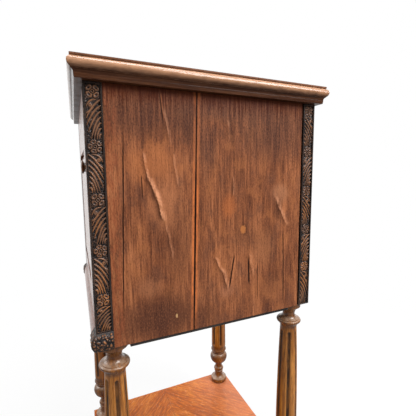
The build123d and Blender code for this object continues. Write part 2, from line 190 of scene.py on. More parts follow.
# every wood: its colours, how fine and long its streaks are, their share of the grain, and its finish
woods = {
    "board": {
        "dark": tone(88, 50, 36), "mid": tone(146, 88, 58), "light": tone(194, 122, 80),
        "pore": tone(60, 35, 27), "worn": tone(190, 112, 64), "wear": 0.75,
        "streaks": 430.0, "length": 17.0, "wander": 0.014, "seed": 3.0, "share": 0.34, "spread": 0.125,
        "rough": 0.50, "coat": 0.05, "shine": 0.16, "relief": 0.7, "dashes": 0.20,
    },
    "underside": {
        # the pale worn arris of the bottom board is rubbed wood and also a painted highlight along its edge
        "dark": tone(30, 28, 28), "mid": tone(50, 46, 44), "light": tone(76, 70, 66),
        "pore": tone(24, 22, 22), "worn": tone(186, 174, 164), "wear": 0.9,
        "streaks": 190.0, "length": 22.0, "wander": 0.008, "seed": 9.0, "spread": 0.13,
        "rough": 0.55, "coat": 0.0, "shine": 0.2, "relief": 0.6,
    },
    "strip": {
        "dark": tone(30, 27, 27), "mid": tone(48, 40, 37), "light": tone(72, 57, 50),
        "pore": tone(22, 19, 19), "worn": tone(160, 112, 80), "wear": 0.8,
        "streaks": 380.0, "length": 18.0, "wander": 0.004, "seed": 5.0, "spread": 0.13,
        "rough": 0.38, "coat": 0.15, "shine": 0.3, "relief": 0.5,
    },
    "turned": {
        # the pale worn arrises of the legs are rubbed wood and also painted highlights on the rings
        "dark": tone(96, 54, 18), "mid": tone(164, 100, 38), "light": tone(210, 138, 62),
        "pore": tone(58, 34, 14), "worn": tone(228, 188, 146), "wear": 0.75,
        "streaks": 300.0, "length": 24.0, "wander": 0.006, "seed": 7.0, "spread": 0.12,
        "rough": 0.32, "coat": 0.35, "shine": 0.3, "relief": 0.35,
    },
    "lid": {
        "dark": tone(48, 28, 17), "mid": tone(78, 47, 30), "light": tone(122, 80, 54),
        "pore": tone(38, 21, 13), "worn": tone(200, 152, 120), "wear": 0.6,
        "streaks": 260.0, "length": 30.0, "wander": 0.006, "seed": 2.0, "spread": 0.12,
        "rough": 0.42, "coat": 0.12, "shine": 0.14, "relief": 0.45,
    },
    "polished": {
        "dark": tone(84, 42, 26), "mid": tone(134, 74, 45), "light": tone(172, 102, 64),
        "pore": tone(58, 30, 19), "worn": tone(200, 138, 96), "wear": 0.6,
        "streaks": 280.0, "length": 28.0, "wander": 0.007, "seed": 6.0, "spread": 0.13,
        "rough": 0.28, "coat": 0.6, "shine": 0.3, "relief": 0.25,
    },
    "panel": {
        "dark": tone(84, 42, 24), "mid": tone(142, 80, 44), "light": tone(186, 118, 70),
        "pore": tone(62, 32, 20), "worn": tone(196, 136, 94), "wear": 0.4,
        "streaks": 260.0, "length": 9.0, "wander": 0.020, "seed": 11.0, "share": 0.6, "spread": 0.13,
        "rough": 0.26, "coat": 0.6, "shine": 0.3, "relief": 0.15,
    },
    "veneer": {
        "dark": tone(148, 68, 20), "mid": tone(203, 102, 28), "light": tone(236, 142, 54),
        "pore": tone(140, 70, 32), "worn": tone(236, 170, 116), "wear": 0.4,
        "streaks": 230.0, "length": 7.0, "wander": 0.016, "seed": 8.0, "spread": 0.12,
        "rough": 0.32, "coat": 0.06, "shine": 0.06, "relief": 0.18,
    },
    "inner": {
        "dark": tone(140, 106, 70), "mid": tone(178, 142, 100), "light": tone(204, 172, 130),
        "pore": tone(122, 90, 60), "worn": tone(212, 184, 144), "wear": 0.4,
        "streaks": 170.0, "length": 30.0, "wander": 0.008, "seed": 4.0, "spread": 0.13,
        "rough": 0.6, "coat": 0.0, "shine": 0.2, "relief": 0.5,
    },
}
# what the woods have in common, unless one says otherwise: shares of tone, of roughness and of relief
usual = {
    "share": 0.5, "fibre": 0.2, "dashes": 0.55, "pores": 0.6, "gloss": 0.12, "depth": 0.0006,
    "rounding": 0.0007, "arris": (0.01, 0.16), "scuffRough": 0.14, "streakRough": 0.2,
    "streakRise": 0.6, "fibreRise": 0.4, "poreSink": 0.5,
}
# texture scales per metre, across and along the grain
grains = {
    "wander": (16.0, 3.0), "patch": (30.0, 7.0), "dashes": (620.0, 48.0), "fibre": (1100.0, 26.0),
    "pores": (1700.0, 80.0),
}
# patches that ignore the grain: scale, detail, shift and limits, as for all patches below
wearing = {
    "rubbed": ((90.0, 90.0, 60.0), 3.0, 1.0, 0.38, 0.6),
    "scuff": ((60.0, 60.0, 60.0), 4.0, 12.0, 0.42, 0.66),
}


def woodMaterial(kind, axis, dress=None, frameOf=None):
    # grain, fibres and pores, worn arrises that on some woods also stand for a painted highlight, then what
    # is special to the piece
    wood = {**usual, **woods[kind]}
    seed, spread = wood["seed"], wood["spread"]
    material, wire, place = newMaterial(kind + axis)
    grainPlace = frameOf(wire, place) if frameOf else place

    def grainNoise(name, where, *rest):
        return noise(wire, where, drawn(axis, *grains[name]), *rest)

    wander = grainNoise("wander", grainPlace, 1.0, seed)
    bent = wire.vector("ADD", grainPlace, wander * wood["wander"])
    streak = noise(wire, bent, drawn(axis, wood["streaks"], wood["streaks"] / wood["length"]), 4.0, seed)
    fibre = grainNoise("fibre", bent)
    patch = grainNoise("patch", grainPlace, 2.0, seed)
    pores = grainNoise("pores", bent, 1.0).ease(0.6, 0.7)
    dashes = grainNoise("dashes", bent, 3.0, 17.0).ease(0.54, 0.68)
    grain = streak * wood["share"] + fibre * wood["fibre"] + patch * (1.0 - wood["fibre"] - wood["share"])
    colour = grain.ramp([(0.5 - spread, wood["dark"]), (0.5, wood["mid"]), (0.5 + spread, wood["light"])])
    rounded = wire.node("ShaderNodeBevel", {"Radius": wood["rounding"]}, samples=4)
    flat = wire.node("ShaderNodeNewGeometry", out="Normal")
    edge = (1.0 - wire.vector("DOT_PRODUCT", rounded, flat, "Value")).ease(*wood["arris"])
    rubbed = patches(wire, place, *wearing["rubbed"])
    coats = {
        "dashes": (wood["dashes"], wood["dark"]), "pores": (wood["pores"], wood["pore"]),
        "worn": (wood["wear"], wood["worn"]),
    }
    colour = lay(colour, coats, {"dashes": dashes, "pores": pores, "worn": edge * rubbed})
    scuff = patches(wire, place, *wearing["scuff"])
    rough = wood["rough"] + scuff * wood["scuffRough"] + (streak - 0.5) * wood["streakRough"]
    height = streak * wood["streakRise"] + fibre * wood["fibreRise"] - pores * wood["poreSink"]
    coat = wood["coat"]
    if dress:
        colour, rough, height, coat = dress(wire, place, colour, rough, height, coat)
    bump = {"Height": height, "Strength": wood["relief"], "Distance": wood["depth"], "Normal": rounded}
    closeMaterial(wire, {
        "Base Color": colour, "Roughness": rough, "Normal": wire.node("ShaderNodeBump", bump),
        "Coat Weight": coat, "Coat Roughness": wood["gloss"], "Specular IOR Level": wood["shine"],
    })
    return material


# marks on the right side of the box, in metres: lines as two ends (y, z), breadth and depth of tone; stains
# and painted shade (the dark ones along the top) as middle (y, z), reach, share and colour; sway of the
# flakes' edges as amount, turns and start
marks = {
    "cracks": [
        ((-0.1227, 0.690), (-0.1323, 0.430), 0.0010, 0.9),
        ((-0.0789, 0.722), (-0.0752, 0.683), 0.0010, 0.7),
        ((-0.1040, 0.622), (-0.1033, 0.588), 0.0012, 0.7),
        ((0.0256, 0.508), (0.0167, 0.452), 0.0015, 1.0),
        ((0.0484, 0.500), (0.0503, 0.454), 0.0016, 1.0),
        ((0.0646, 0.492), (0.0654, 0.428), 0.0009, 0.6),
        ((0.1101, 0.545), (0.1136, 0.409), 0.0012, 0.9),
    ],
    "flakes": [
        ((-0.1015, 0.650), (-0.0950, 0.606), 0.0050, 0.55),
        ((-0.0965, 0.620), (-0.0860, 0.586), 0.0085, 0.80),
        ((-0.0895, 0.604), (-0.0770, 0.558), 0.0095, 0.90),
        ((-0.0785, 0.575), (-0.0649, 0.500), 0.0060, 0.30),
        ((-0.0750, 0.705), (-0.0670, 0.655), 0.0060, 0.30),
        ((-0.0650, 0.655), (-0.0570, 0.600), 0.0060, 0.28),
        ((-0.0060, 0.507), (0.0060, 0.480), 0.0070, 0.50),
        ((0.0050, 0.490), (0.0140, 0.450), 0.0085, 0.60),
        ((0.0500, 0.506), (0.0560, 0.466), 0.0075, 0.50),
        ((0.0900, 0.592), (0.1180, 0.537), 0.0105, 0.55),
        ((0.0150, 0.694), (0.0150, 0.664), 0.0055, 0.30),
        ((0.0230, 0.618), (0.0222, 0.588), 0.0040, 0.45),
    ],
    "stainsAndShade": [
        ((-0.109, 0.691), (0.045, 0.028), 0.75, tone(84, 52, 41)),
        ((-0.046, 0.691), (0.030, 0.030), 0.55, tone(86, 56, 46)),
        ((0.020, 0.706), (0.080, 0.018), 0.55, tone(82, 56, 49)),
        ((-0.015, 0.652), (0.016, 0.030), 0.45, tone(96, 66, 55)),
        ((-0.059, 0.535), (0.022, 0.062), 0.55, tone(98, 60, 44)),
        ((-0.086, 0.432), (0.070, 0.034), 0.82, tone(86, 53, 41)),
        ((0.043, 0.528), (0.024, 0.022), 0.40, tone(108, 70, 52)),
        ((-0.018, 0.419), (0.024, 0.024), 0.50, tone(88, 54, 41)),
        ((0.090, 0.680), (0.070, 0.045), 0.62, tone(90, 59, 47)),
        ((-0.090, 0.632), (0.040, 0.028), 0.70, tone(188, 114, 70)),
        ((-0.078, 0.582), (0.026, 0.040), 0.60, tone(194, 124, 84)),
        ((-0.098, 0.477), (0.018, 0.016), 0.55, tone(166, 108, 76)),
        ((0.017, 0.576), (0.013, 0.019), 0.60, tone(182, 102, 58)),
        ((0.076, 0.511), (0.024, 0.034), 0.50, tone(170, 110, 74)),
        ((0.013, 0.454), (0.015, 0.012), 0.60, tone(178, 116, 84)),
        ((0.102, 0.590), (0.017, 0.016), 0.45, tone(174, 122, 92)),
        ((0.096, 0.442), (0.030, 0.026), 0.45, tone(164, 102, 66)),
        ((0.100, 0.566), (0.009, 0.020), 0.65, tone(76, 46, 36)),
    ],
    "sway": [(0.0007, 90.0, 1.3), (0.0003, 310.0, 0.4), (0.00025, 1300.0, 2.0)],
    "wobble": 0.005,
    "nick": (-0.0624, 0.4312), "nickSize": (0.0014, 0.0030),
    "knot": (0.0396, 0.5405), "knotSize": (0.0050, 0.0062),
    "seamTop": -0.0295, "seamFoot": -0.0380, "gapesFrom": (0.41, 0.46), "gapesTo": (0.57, 0.67),
    "edgeBand": (-0.134, -0.128), "fromX": 0.15,
}
# textures of the boards: scale per metre, detail and shift; growth rings; and coats
boardTextures = {
    "cloud": ((46.0, 46.0, 30.0), 4.0, 21.0), "jag": ((300.0, 300.0, 14.0), 3.0, 41.0),
    "fleck": ((700.0, 700.0, 330.0), 3.0, 71.0), "broken": ((260.0, 260.0, 80.0), 3.0, 61.0),
    "wobble": ((8.0, 8.0, 90.0), 3.0, 51.0), "lines": ((85.0, 85.0, 2.2), 3.0, 81.0),
}
growth = {"Scale": 1.0, "Distortion": 5.0, "Detail": 3.0, "Detail Scale": 1.3}
growthDrawn = (80.0, 80.0, 6.0)
boardCoats = {
    "rings": (0.22, tone(92, 54, 38)), "lines": (1.0, tone(84, 47, 34)),
    "darkCloud": (0.4, tone(92, 62, 52)), "paleCloud": (0.4, tone(178, 110, 68)),
    "edgeBand": (0.4, tone(152, 78, 50)), "lidShadow": (0.85, tone(76, 29, 8)),
    "darkStreaks": (1.0, tone(70, 41, 31)), "paleStreaks": (1.0, tone(166, 102, 70)),
    "darkFlecks": (1.0, tone(66, 39, 30)), "paleFlecks": (1.0, tone(190, 118, 78)),
    "tornHighlight": (1.0, tone(222, 152, 112)), "tornShadow": (0.7, tone(80, 46, 33)),
    "crackLip": (0.6, tone(200, 124, 82)), "crack": (1.0, tone(34, 18, 13)),
    "seamEdge": (1.0, tone(222, 124, 68)), "seam": (0.92, tone(28, 14, 10)),
    "nick": (1.0, tone(206, 160, 110)),
    "knot": (0.75, tone(196, 122, 68)), "knotHalo": (0.6, tone(84, 50, 34)),
}


def besideLine(across, height, start, finish, wobble):
    # signed distance from an upright line between two points, and 1 between its ends
    slope = (finish[0] - start[0]) / (finish[1] - start[1])
    beside = across - ((height - start[1]) * slope + start[0]) + wobble
    soft = 0.2 * (start[1] - finish[1])
    return beside, height.fall(start[1] - soft, start[1]) * height.ease(finish[1], finish[1] + soft)


def tornMarks(wire, place, side, broken, wobble, colour, height):
    # lifted flakes, with a painted highlight on one side of the tear and a painted shadow on the other,
    # then the cracks with their lips
    across, up = place.axis("Y"), place.axis("Z")
    sway = 0.0
    for amount, turns, begin in marks["sway"]:
        sway = wire.maths("SINE", up * turns + begin) * amount + sway
    for start, finish, breadth, depth in marks["flakes"]:
        beside, ends = besideLine(across, up, start, finish, sway)
        swell = beside.size().fall(0.0, breadth) * ends * side
        lit = beside.ease(-0.12 * breadth, 0.12 * breadth) * beside.fall(0.2 * breadth, 0.9 * breadth)
        dim = beside.ease(-0.9 * breadth, -0.2 * breadth) * beside.fall(-0.12 * breadth, 0.1 * breadth)
        # a painted highlight on the lit side of the tear and a painted shadow on the other
        lit = lit * ends * side * (0.15 + broken * 0.85) * depth
        colour = lay(colour, boardCoats, {"tornHighlight": lit, "tornShadow": dim * ends * side * depth})
        height = height + swell * 0.4
    for start, finish, breadth, depth in marks["cracks"]:
        beside, ends = besideLine(across, up, start, finish, wobble * 0.25)
        crack = beside.size().fall(breadth * 0.3, breadth) * ends * side * depth
        lip = beside.ease(breadth, 1.4 * breadth) * beside.fall(1.4 * breadth, 3.5 * breadth)
        lip = lip * ends * side * broken * depth
        colour = lay(colour, boardCoats, {"crackLip": lip, "crack": crack})
        height = height - crack * 2.0
    return colour, height


def offCentre(across, up, centre, reach):
    # squared distance from a point, where 1 is an oval of the given reach
    return ((across - centre[0]) / reach[0]) ** 2.0 + ((up - centre[1]) / reach[1]) ** 2.0


def jointMarks(place, side, broken, wobble, fleck, colour, height):
    # the open seam between the boards, a nick and a knot
    across, up = place.axis("Y"), place.axis("Z")
    low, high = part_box("side_board_right_front")
    slope = (marks["seamTop"] - marks["seamFoot"]) / (high.z - low.z)
    seam = (across - (up - high.z) * slope - marks["seamTop"]).size()
    gaping = up.fall(*marks["gapesTo"]) * up.ease(*marks["gapesFrom"])
    gap = (seam - gaping * 0.0007).fall(0.0004, 0.0010)
    arris = seam.ease(0.0010, 0.0016) * seam.fall(0.0030, 0.0056) * side
    nick = offCentre(across, up, marks["nick"], marks["nickSize"])
    nick = (nick + wobble * 200.0).fall(0.5, 1.2) * side
    knot = offCentre(across, up, marks["knot"], marks["knotSize"])
    knot = knot + wobble * 120.0 + (fleck - 0.5) * 1.6
    lee = across.ease(marks["knot"][0] - 0.004, marks["knot"][0] + 0.004) * side
    halo = knot.ease(0.9, 1.3) * knot.fall(1.3, 2.8) * lee
    colour = lay(colour, boardCoats, {
        "seamEdge": arris * (0.3 + gaping * 0.6) * (0.4 + broken * 0.6), "seam": gap * side, "nick": nick,
        "knot": knot.fall(0.4, 1.2) * side, "knotHalo": halo,
    })
    return colour, height - nick


def dressBoard(wire, place, colour, rough, height, coat):
    # rings, clouds, stains, streaks and flecks on the old box boards, with painted shade along the top
    # under the lid, then the marks of the right side
    across, up = place.axis("Y"), place.axis("Z")
    side = place.axis("X").over(marks["fromX"])
    texture = {name: noise(wire, place, *values) for name, values in boardTextures.items()}
    cloud, jag, fleck = texture["cloud"], texture["jag"], texture["fleck"]
    broken = texture["broken"].ease(0.38, 0.58)
    wobble = (texture["wobble"] - 0.5) * marks["wobble"]
    drawnOut = wire.node("ShaderNodeMapping", {"Vector": place, "Scale": growthDrawn})
    sockets = {"Vector": drawnOut, **growth}
    rings = wire.node("ShaderNodeTexWave", sockets, "Fac", bands_direction="DIAGONAL")
    lines = (texture["lines"] - 0.5).size().fall(0.006, 0.022)
    colour = lay(colour, boardCoats, {
        "rings": rings.ease(0.6, 1.0), "lines": lines * (0.2 + broken * 0.3),
        "darkCloud": cloud.ease(0.50, 0.66), "paleCloud": cloud.fall(0.36, 0.48),
    })
    ragged = (cloud - 0.5) * 1.2 + (jag - 0.5) * 0.5
    # stains, and dark patches along the top that are painted shade under the lid
    for centre, reach, share, shade in marks["stainsAndShade"]:
        away = offCentre(across, up, centre, reach) ** 0.5
        colour = ((away + ragged).fall(0.25, 1.25) * side * share).blend(colour, shade)
    # towards the top the streaks grow, dark flecks thicken and pale flecks thin, partly painted shade under
    # the lid; then a painted shadow just below the lid
    upper = (up + (cloud - 0.5) * 0.08).ease(0.63, 0.71)
    lidShadow = (up + (jag - 0.5) * 0.05).ease(0.697, 0.722)
    colour = lay(colour, boardCoats, {
        "edgeBand": across.fall(*marks["edgeBand"]) * side * broken,
        "darkStreaks": jag.ease(0.50, 0.60) * (0.12 + upper * 0.4),
        "paleStreaks": jag.fall(0.40, 0.48) * (0.08 + upper * 0.25),
        "darkFlecks": fleck.ease(0.53, 0.63) * (0.35 + upper * 0.35),
        "paleFlecks": fleck.fall(0.38, 0.46) * (0.22 - upper * 0.08), "lidShadow": lidShadow,
    })
    colour, height = tornMarks(wire, place, side, broken, wobble, colour, height)
    colour, height = jointMarks(place, side, broken, wobble, fleck, colour, height)
    return colour, rough + lidShadow * 0.1, height - fleck * 0.5, coat


# turned legs in millimetres: radius, drop below the box, bow of the arc that ends there
legs = {
    "head": [
        (18.6, 0.0, 0), (18.8, 8.0, 0), (9.8, 21.4, -2.2), (9.8, 22.6, 0), (16.8, 29.4, -1.4),
        (17.0, 30.2, 0), (19.0, 30.8, 0), (19.4, 34.6, 0.8), (14.8, 39.6, -0.6), (14.8, 40.4, 0),
        (13.6, 42.0, -0.4),
    ],
    "shaftFoot": (17.8, 233.0), "shaftBow": 0.9,
    "foot": [
        (19.2, 241.4, -0.9), (19.2, 243.2, 0), (15.6, 247.4, 0), (15.6, 251.8, 0.9), (18.0, 253.6, 0),
        (21.5, 263.0, 1.0), (15.2, 276.4, 1.5), (8.4, 285.6, -1.2), (8.4, 288.8, 0), (9.4, 291.4, 0),
        (9.4, 301.0, 2.7), (10.8, 301.8, 0), (10.8, 304.4, 0), (9.2, 306.0, 0), (9.2, 311.0, 0),
        (17.8, 319.4, -2.2), (19.2, 320.4, 0), (19.2, 328.4, 0.7), (18.4, 330.0, 0),
    ],
    "flutes": 6, "fluteRadius": 4.4, "fluteDepth": 2.0, "fluteTop": 53.4, "fluteFoot": 223.6,
    "around": 132, "shaftRings": 90, "arcSteps": 9, "sharpFrom": 40,
    "turns": {"front_left": 12, "front_right": 0, "rear_left": -8, "rear_right": 28},
}
# darker turnings and flutes, painted shade in the hollows and a painted sheen on the ledges of what is
# turned
turnedLook = {
    "fade": 0.006, "fluteDarkRange": (0.0003, 0.0017), "stain": ((160.0, 160.0, 40.0), 3.0, 15.0, 0.30, 0.62),
    "polish": 0.6,
    "coats": {
        "turnings": (1.0, tone(80, 48, 32)), "flutes": (1.0, tone(40, 25, 12)),
        # next: painted shade in the hollows, then a painted sheen on the upward ledges
        "hollowShade": (0.8, tone(46, 28, 16)), "ledgeSheen": (1.0, tone(206, 176, 150)),
    },
}


def hollows(wire, reach=0.012):
    # 0 in the open to 1 deep in a hollow
    return 1.0 - wire.node("ShaderNodeAmbientOcclusion", {"Distance": reach}, "AO", samples=6)


def dressTurned(wire, place, colour, rough, height, coat):
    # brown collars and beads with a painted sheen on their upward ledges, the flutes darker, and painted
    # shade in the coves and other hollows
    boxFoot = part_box("post_front_right")[0].z
    low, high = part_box("leg_rear_right")
    topRadius, topDrop = (value / 1000 for value in legs["head"][-1][:2])
    footRadius, footDrop = (value / 1000 for value in legs["shaftFoot"])
    top, foot, fade = boxFoot - topDrop, boxFoot - footDrop, turnedLook["fade"]
    up = place.axis("Z")
    fromX = place.axis("X").size() - (low.x + high.x) / 2
    fromY = place.axis("Y").size() - (low.y + high.y) / 2
    radius = (fromX * fromX + fromY * fromY) ** 0.5
    down = (top - up) / (top - foot)
    full = down * (footRadius - topRadius) + topRadius
    full = full + down * (1.0 - down) * 4 * legs["shaftBow"] / 1000
    onShaft = up.ease(foot, foot + fade) * up.fall(top - fade, top)
    turnings = 1.0 - onShaft
    # how deep into a flute the wood is, for darkening the flutes
    flute = (full - radius).ease(*turnedLook["fluteDarkRange"]) * onShaft
    stain = patches(wire, place, *turnedLook["stain"])
    facing = wire.node("ShaderNodeNewGeometry", out="Normal").axis("Z")
    # painted shade where ambient occlusion finds a hollow, and a painted sheen on the faces that look
    # upward
    colour = lay(colour, turnedLook["coats"], {
        "turnings": turnings * (0.35 + stain * 0.4), "flutes": flute * (0.6 + stain * 0.35),
        "hollowShade": hollows(wire).ease(0.25, 0.85),
        "ledgeSheen": facing.ease(0.25, 0.9) * turnings * (0.15 + stain * 0.35),
    })
    rough = rough + flute * 0.4 - turnings * 0.08
    return colour, rough, height, turnings.choose(coat, turnedLook["polish"])


# heights of the lid's roll in metres, and its coats
roll = {
    "foot": 0.7345, "top": 0.7462, "polish": 0.9,
    "broken": ((70.0, 70.0, 300.0), 4.0, 18.0), "stain": ((30.0, 30.0, 30.0), 4.0, 27.0, 0.55, 0.72),
    "coats": {
        # the pale face is rubbed wood and a painted highlight; the dark coat under the roll is painted
        # shade
        "face": (1.0, tone(194, 142, 106)), "lip": (1.0, tone(142, 90, 60)),
        "under": (1.0, tone(70, 37, 17)), "stain": (0.35, tone(58, 35, 23)),
    },
}


def dressLid(wire, place, colour, rough, height, coat):
    # roll pale and shiny, partly rubbed wood and partly a painted highlight; lip above it brown; painted
    # shade in the hollow below it; front polished
    up = place.axis("Z")
    normal = wire.node("ShaderNodeNewGeometry", out="Normal")
    foot, top = roll["foot"], roll["top"]
    broken = noise(wire, place, *roll["broken"])
    # the roll's pale face: rubbed wood and a painted highlight along the roll
    face = (up + (broken - 0.5) * 0.004).ease(foot - 0.002, foot + 0.006)
    face = face * up.fall(top - 0.0006, top + 0.0004)
    lip = up.ease(top - 0.0002, top + 0.0004) * normal.axis("Z").fall(0.5, 0.9)
    # painted shade in the hollows and in the cove just below the roll
    under = (hollows(wire).ease(0.3, 0.9) * 0.8).most(up.fall(foot - 0.0015, foot) * 0.45)
    stain = patches(wire, place, *roll["stain"])
    front = normal.axis("Y").fall(-0.8, -0.3)
    colour = lay(colour, roll["coats"], {
        "face": face * (0.55 + broken * 0.6), "lip": lip * (0.3 + broken * 0.5),
        "under": under, "stain": stain,
    })
    shine = front.choose((face * roll["polish"]).most(coat), roll["polish"])
    return colour, rough - front * 0.15, height, shine


# figured veneers: patches of the figure, places along the shelf, breadth of the seams, and coats
shelfLook = {
    "figure": ((60.0, 150.0, 1.0), 3.0, 6.0, 0.46, 0.66),
    "fleck": ((90.0, 420.0, 1.0), 2.0, 9.0, 0.58, 0.70),
    "scratch": ((40.0, 900.0, 40.0), 2.0, 14.0, 0.66, 0.72),
    "right": (0.02, 0.16), "left": (-0.13, 0.02), "seam": (0.0002, 0.0008),
    "coats": {
        "figure": (0.45, tone(160, 78, 34)), "fleck": (0.4, tone(252, 190, 126)),
        "right": (0.45, tone(236, 156, 122)), "left": (0.25, tone(180, 98, 52)),
        "seam": (0.5, tone(120, 62, 32)), "scratch": (0.4, tone(248, 206, 166)),
    },
}
panelLook = {
    "flame": ((34.0, 1.0, 150.0), 3.0, 6.0, 0.46, 0.62),
    "glint": ((50.0, 1.0, 260.0), 2.0, 9.0, 0.56, 0.68),
    "seam": (0.0002, 0.0007),
    "coats": {
        "flame": (0.5, tone(78, 38, 22)), "glint": (0.4, tone(206, 138, 84)),
        "seam": (0.5, tone(60, 30, 18)),
    },
}


def quarters(wire, place):
    # four mirrored leaves, with the grain square to the line from the middle to each corner
    x, y = place.axis("X").size(), place.axis("Y").size()
    return wire.node("ShaderNodeCombineXYZ", {0: (y - x) * 0.7071, 1: (x + y) * 0.7071})


def dressShelf(wire, place, colour, rough, height, coat):
    # broken figure, paler towards the right edge, with seams and fine scratches
    across = place.axis("Y")
    leaf = quarters(wire, place)
    seam = place.axis("X").size().fall(*shelfLook["seam"]).most(across.size().fall(*shelfLook["seam"]))
    scratch = patches(wire, place, *shelfLook["scratch"])
    colour = lay(colour, shelfLook["coats"], {
        "figure": patches(wire, leaf, *shelfLook["figure"]),
        "fleck": patches(wire, leaf, *shelfLook["fleck"]),
        "right": across.ease(*shelfLook["right"]), "left": across.fall(*shelfLook["left"]),
        "seam": seam, "scratch": scratch,
    })
    return colour, rough + scratch * 0.1, height - seam * 0.6, coat


def bookmatch(wire, place):
    # two mirrored leaves with the grain rising from the middle in a V
    x, z = place.axis("X").size(), place.axis("Z")
    return wire.node("ShaderNodeCombineXYZ", {0: x * 0.87 - z * 0.5, 2: z * 0.87 + x * 0.5})


def dressPanel(wire, place, colour, rough, height, coat):
    # flame figure across the leaves, and the seam where they meet
    leaf = bookmatch(wire, place)
    seam = place.axis("X").size().fall(*panelLook["seam"])
    colour = lay(colour, panelLook["coats"], {
        "flame": patches(wire, leaf, *panelLook["flame"]),
        "glint": patches(wire, leaf, *panelLook["glint"]),
        "seam": seam,
    })
    return colour, rough, height - seam * 0.5, coat


# the carving's tones from the ground up, and its textures
carved = {
    "levels": [
        (0.05, tone(25, 22, 22)), (0.35, tone(56, 43, 38)), (0.65, tone(98, 70, 54)),
        (1.0, tone(138, 97, 71)),
    ],
    "blur": ((240.0, 240.0, 160.0), 3.0, 5.0), "cuts": ((900.0, 900.0, 500.0), 2.0, 2.0),
    "worn": ((50.0, 50.0, 30.0), 2.0, 8.0, 0.40, 0.64),
    "haze": ((420.0, 420.0, 300.0), 2.0, 3.0, 0.60, 0.72),
    "wornBelow": (0.46, 0.66),
    "coats": {"worn": (1.0, tone(176, 112, 62)), "haze": (0.25, tone(96, 96, 98))},
}
# scratches on the metals, then each metal: tones, dull patches, share of the scratches, and finish
scratches = {"patches": ((1600.0, 60.0, 1600.0), 2.0, 7.0, 0.60, 0.70), "tone": tone(222, 190, 126)}
metals = {
    "brass": {
        "clean": tone(196, 158, 88), "dull": tone(96, 68, 38),
        "patches": ((140.0, 140.0, 140.0), 4.0, 4.0, 0.40, 0.66), "scratch": 0.35, "cut": 0.5,
        "rough": 0.3, "metal": 1.0, "loss": 0.35, "relief": 0.25,
    },
    "iron": {
        "clean": tone(58, 56, 55), "dull": tone(104, 66, 44),
        "patches": ((500.0, 500.0, 500.0), 4.0, 2.0, 0.38, 0.62), "scratch": 0.0, "cut": 0.0,
        "rough": 0.5, "metal": 0.8, "loss": 0.6, "relief": 0.5,
    },
}


def carvedMaterial():
    # near-black ground, rubbed brown highs and thick old varnish
    material, wire, place = newMaterial("carved")
    relief = wire.node("ShaderNodeAttribute", out="Fac", attribute_name="relief")
    blur = noise(wire, place, *carved["blur"])
    worn = patches(wire, place, *carved["worn"]) * relief.ease(0.4, 0.9)
    worn = worn * (0.25 + place.axis("Z").fall(*carved["wornBelow"]) * 0.6)
    haze = patches(wire, place, *carved["haze"])
    colour = (relief + (blur - 0.5) * 0.5).ramp(carved["levels"])
    colour = lay(colour, carved["coats"], {"worn": worn, "haze": haze})
    bump = {"Height": noise(wire, place, *carved["cuts"]), "Strength": 0.5, "Distance": 0.0004}
    closeMaterial(wire, {
        "Base Color": colour, "Roughness": 0.30 + blur * 0.3, "Coat Weight": 0.2, "Coat Roughness": 0.15,
        "Specular IOR Level": 0.3, "Normal": wire.node("ShaderNodeBump", bump),
    })
    return material


def metalMaterial(kind):
    # dull and brown where hands don't reach
    metal = metals[kind]
    material, wire, place = newMaterial(kind)
    tarnish = patches(wire, place, *metal["patches"])
    scratch = patches(wire, place, *scratches["patches"])
    colour = tarnish.blend(metal["clean"], metal["dull"])
    colour = (scratch * metal["scratch"]).blend(colour, scratches["tone"])
    height = tarnish + scratch * metal["cut"]
    bump = {"Height": height, "Strength": metal["relief"], "Distance": 0.0003}
    closeMaterial(wire, {
        "Base Color": colour, "Roughness": metal["rough"] + tarnish * 0.3,
        "Metallic": metal["metal"] - tarnish * metal["loss"],
        "Normal": wire.node("ShaderNodeBump", bump),
    })
    return material


materials = {
    "board": woodMaterial("board", "Z", dressBoard),
    "underside": woodMaterial("underside", "Y"),
    "strip": woodMaterial("strip", "Z"),
    "turned": woodMaterial("turned", "Z", dressTurned),
    "lidX": woodMaterial("lid", "X", dressLid),
    "lidY": woodMaterial("lid", "Y", dressLid),
    "shelf": woodMaterial("veneer", "X", dressShelf, quarters),
    "panel": woodMaterial("panel", "Z", dressPanel, bookmatch),
    "carved": carvedMaterial(),
    "brass": metalMaterial("brass"),
    "iron": metalMaterial("iron"),
}
for kind, axes in (("polished", "XZ"), ("inner", "XYZ")):
    for axis in axes:
        materials[kind + axis] = woodMaterial(kind, axis)

# the first start of a node's name that fits gives its material
finishes = [
    ("post_", "innerZ"), ("strip_", "strip"), ("boss_", "strip"),
    ("side_board", "board"), ("back_board", "board"), ("bottom_board", "underside"),
    ("front_top_rail", "innerX"), ("front_bottom_rail", "innerX"), ("front_", "polishedX"),
    ("shelf_board", "polishedX"), ("shelf_veneer", "shelf"), ("leg_", "turned"), ("foot_", "turned"),
    ("lid_board", "lidY"), ("lid_moulding_front", "lidX"), ("lid_moulding_rear", "lidX"),
    ("lid_moulding", "lidY"), ("lid_hinge", "brass"), ("hinge_pins", "brass"),
    ("door_left_stile", "polishedZ"), ("door_right_stile", "polishedZ"), ("door_top_rail", "polishedX"),
    ("door_bottom_rail", "polishedX"), ("door_panel", "panel"), ("door_pivots", "brass"),
    ("door_latch", "brass"), ("door_knob", "turned"), ("tray_cleats", "innerY"), ("tray_", "innerX"),
]
for name, node in nodes.items():
    finish = next(finish for start, finish in finishes if name.startswith(start))
    node.data.materials.clear()
    node.data.materials.append(materials[finish])
print("materials made:", len(materials))


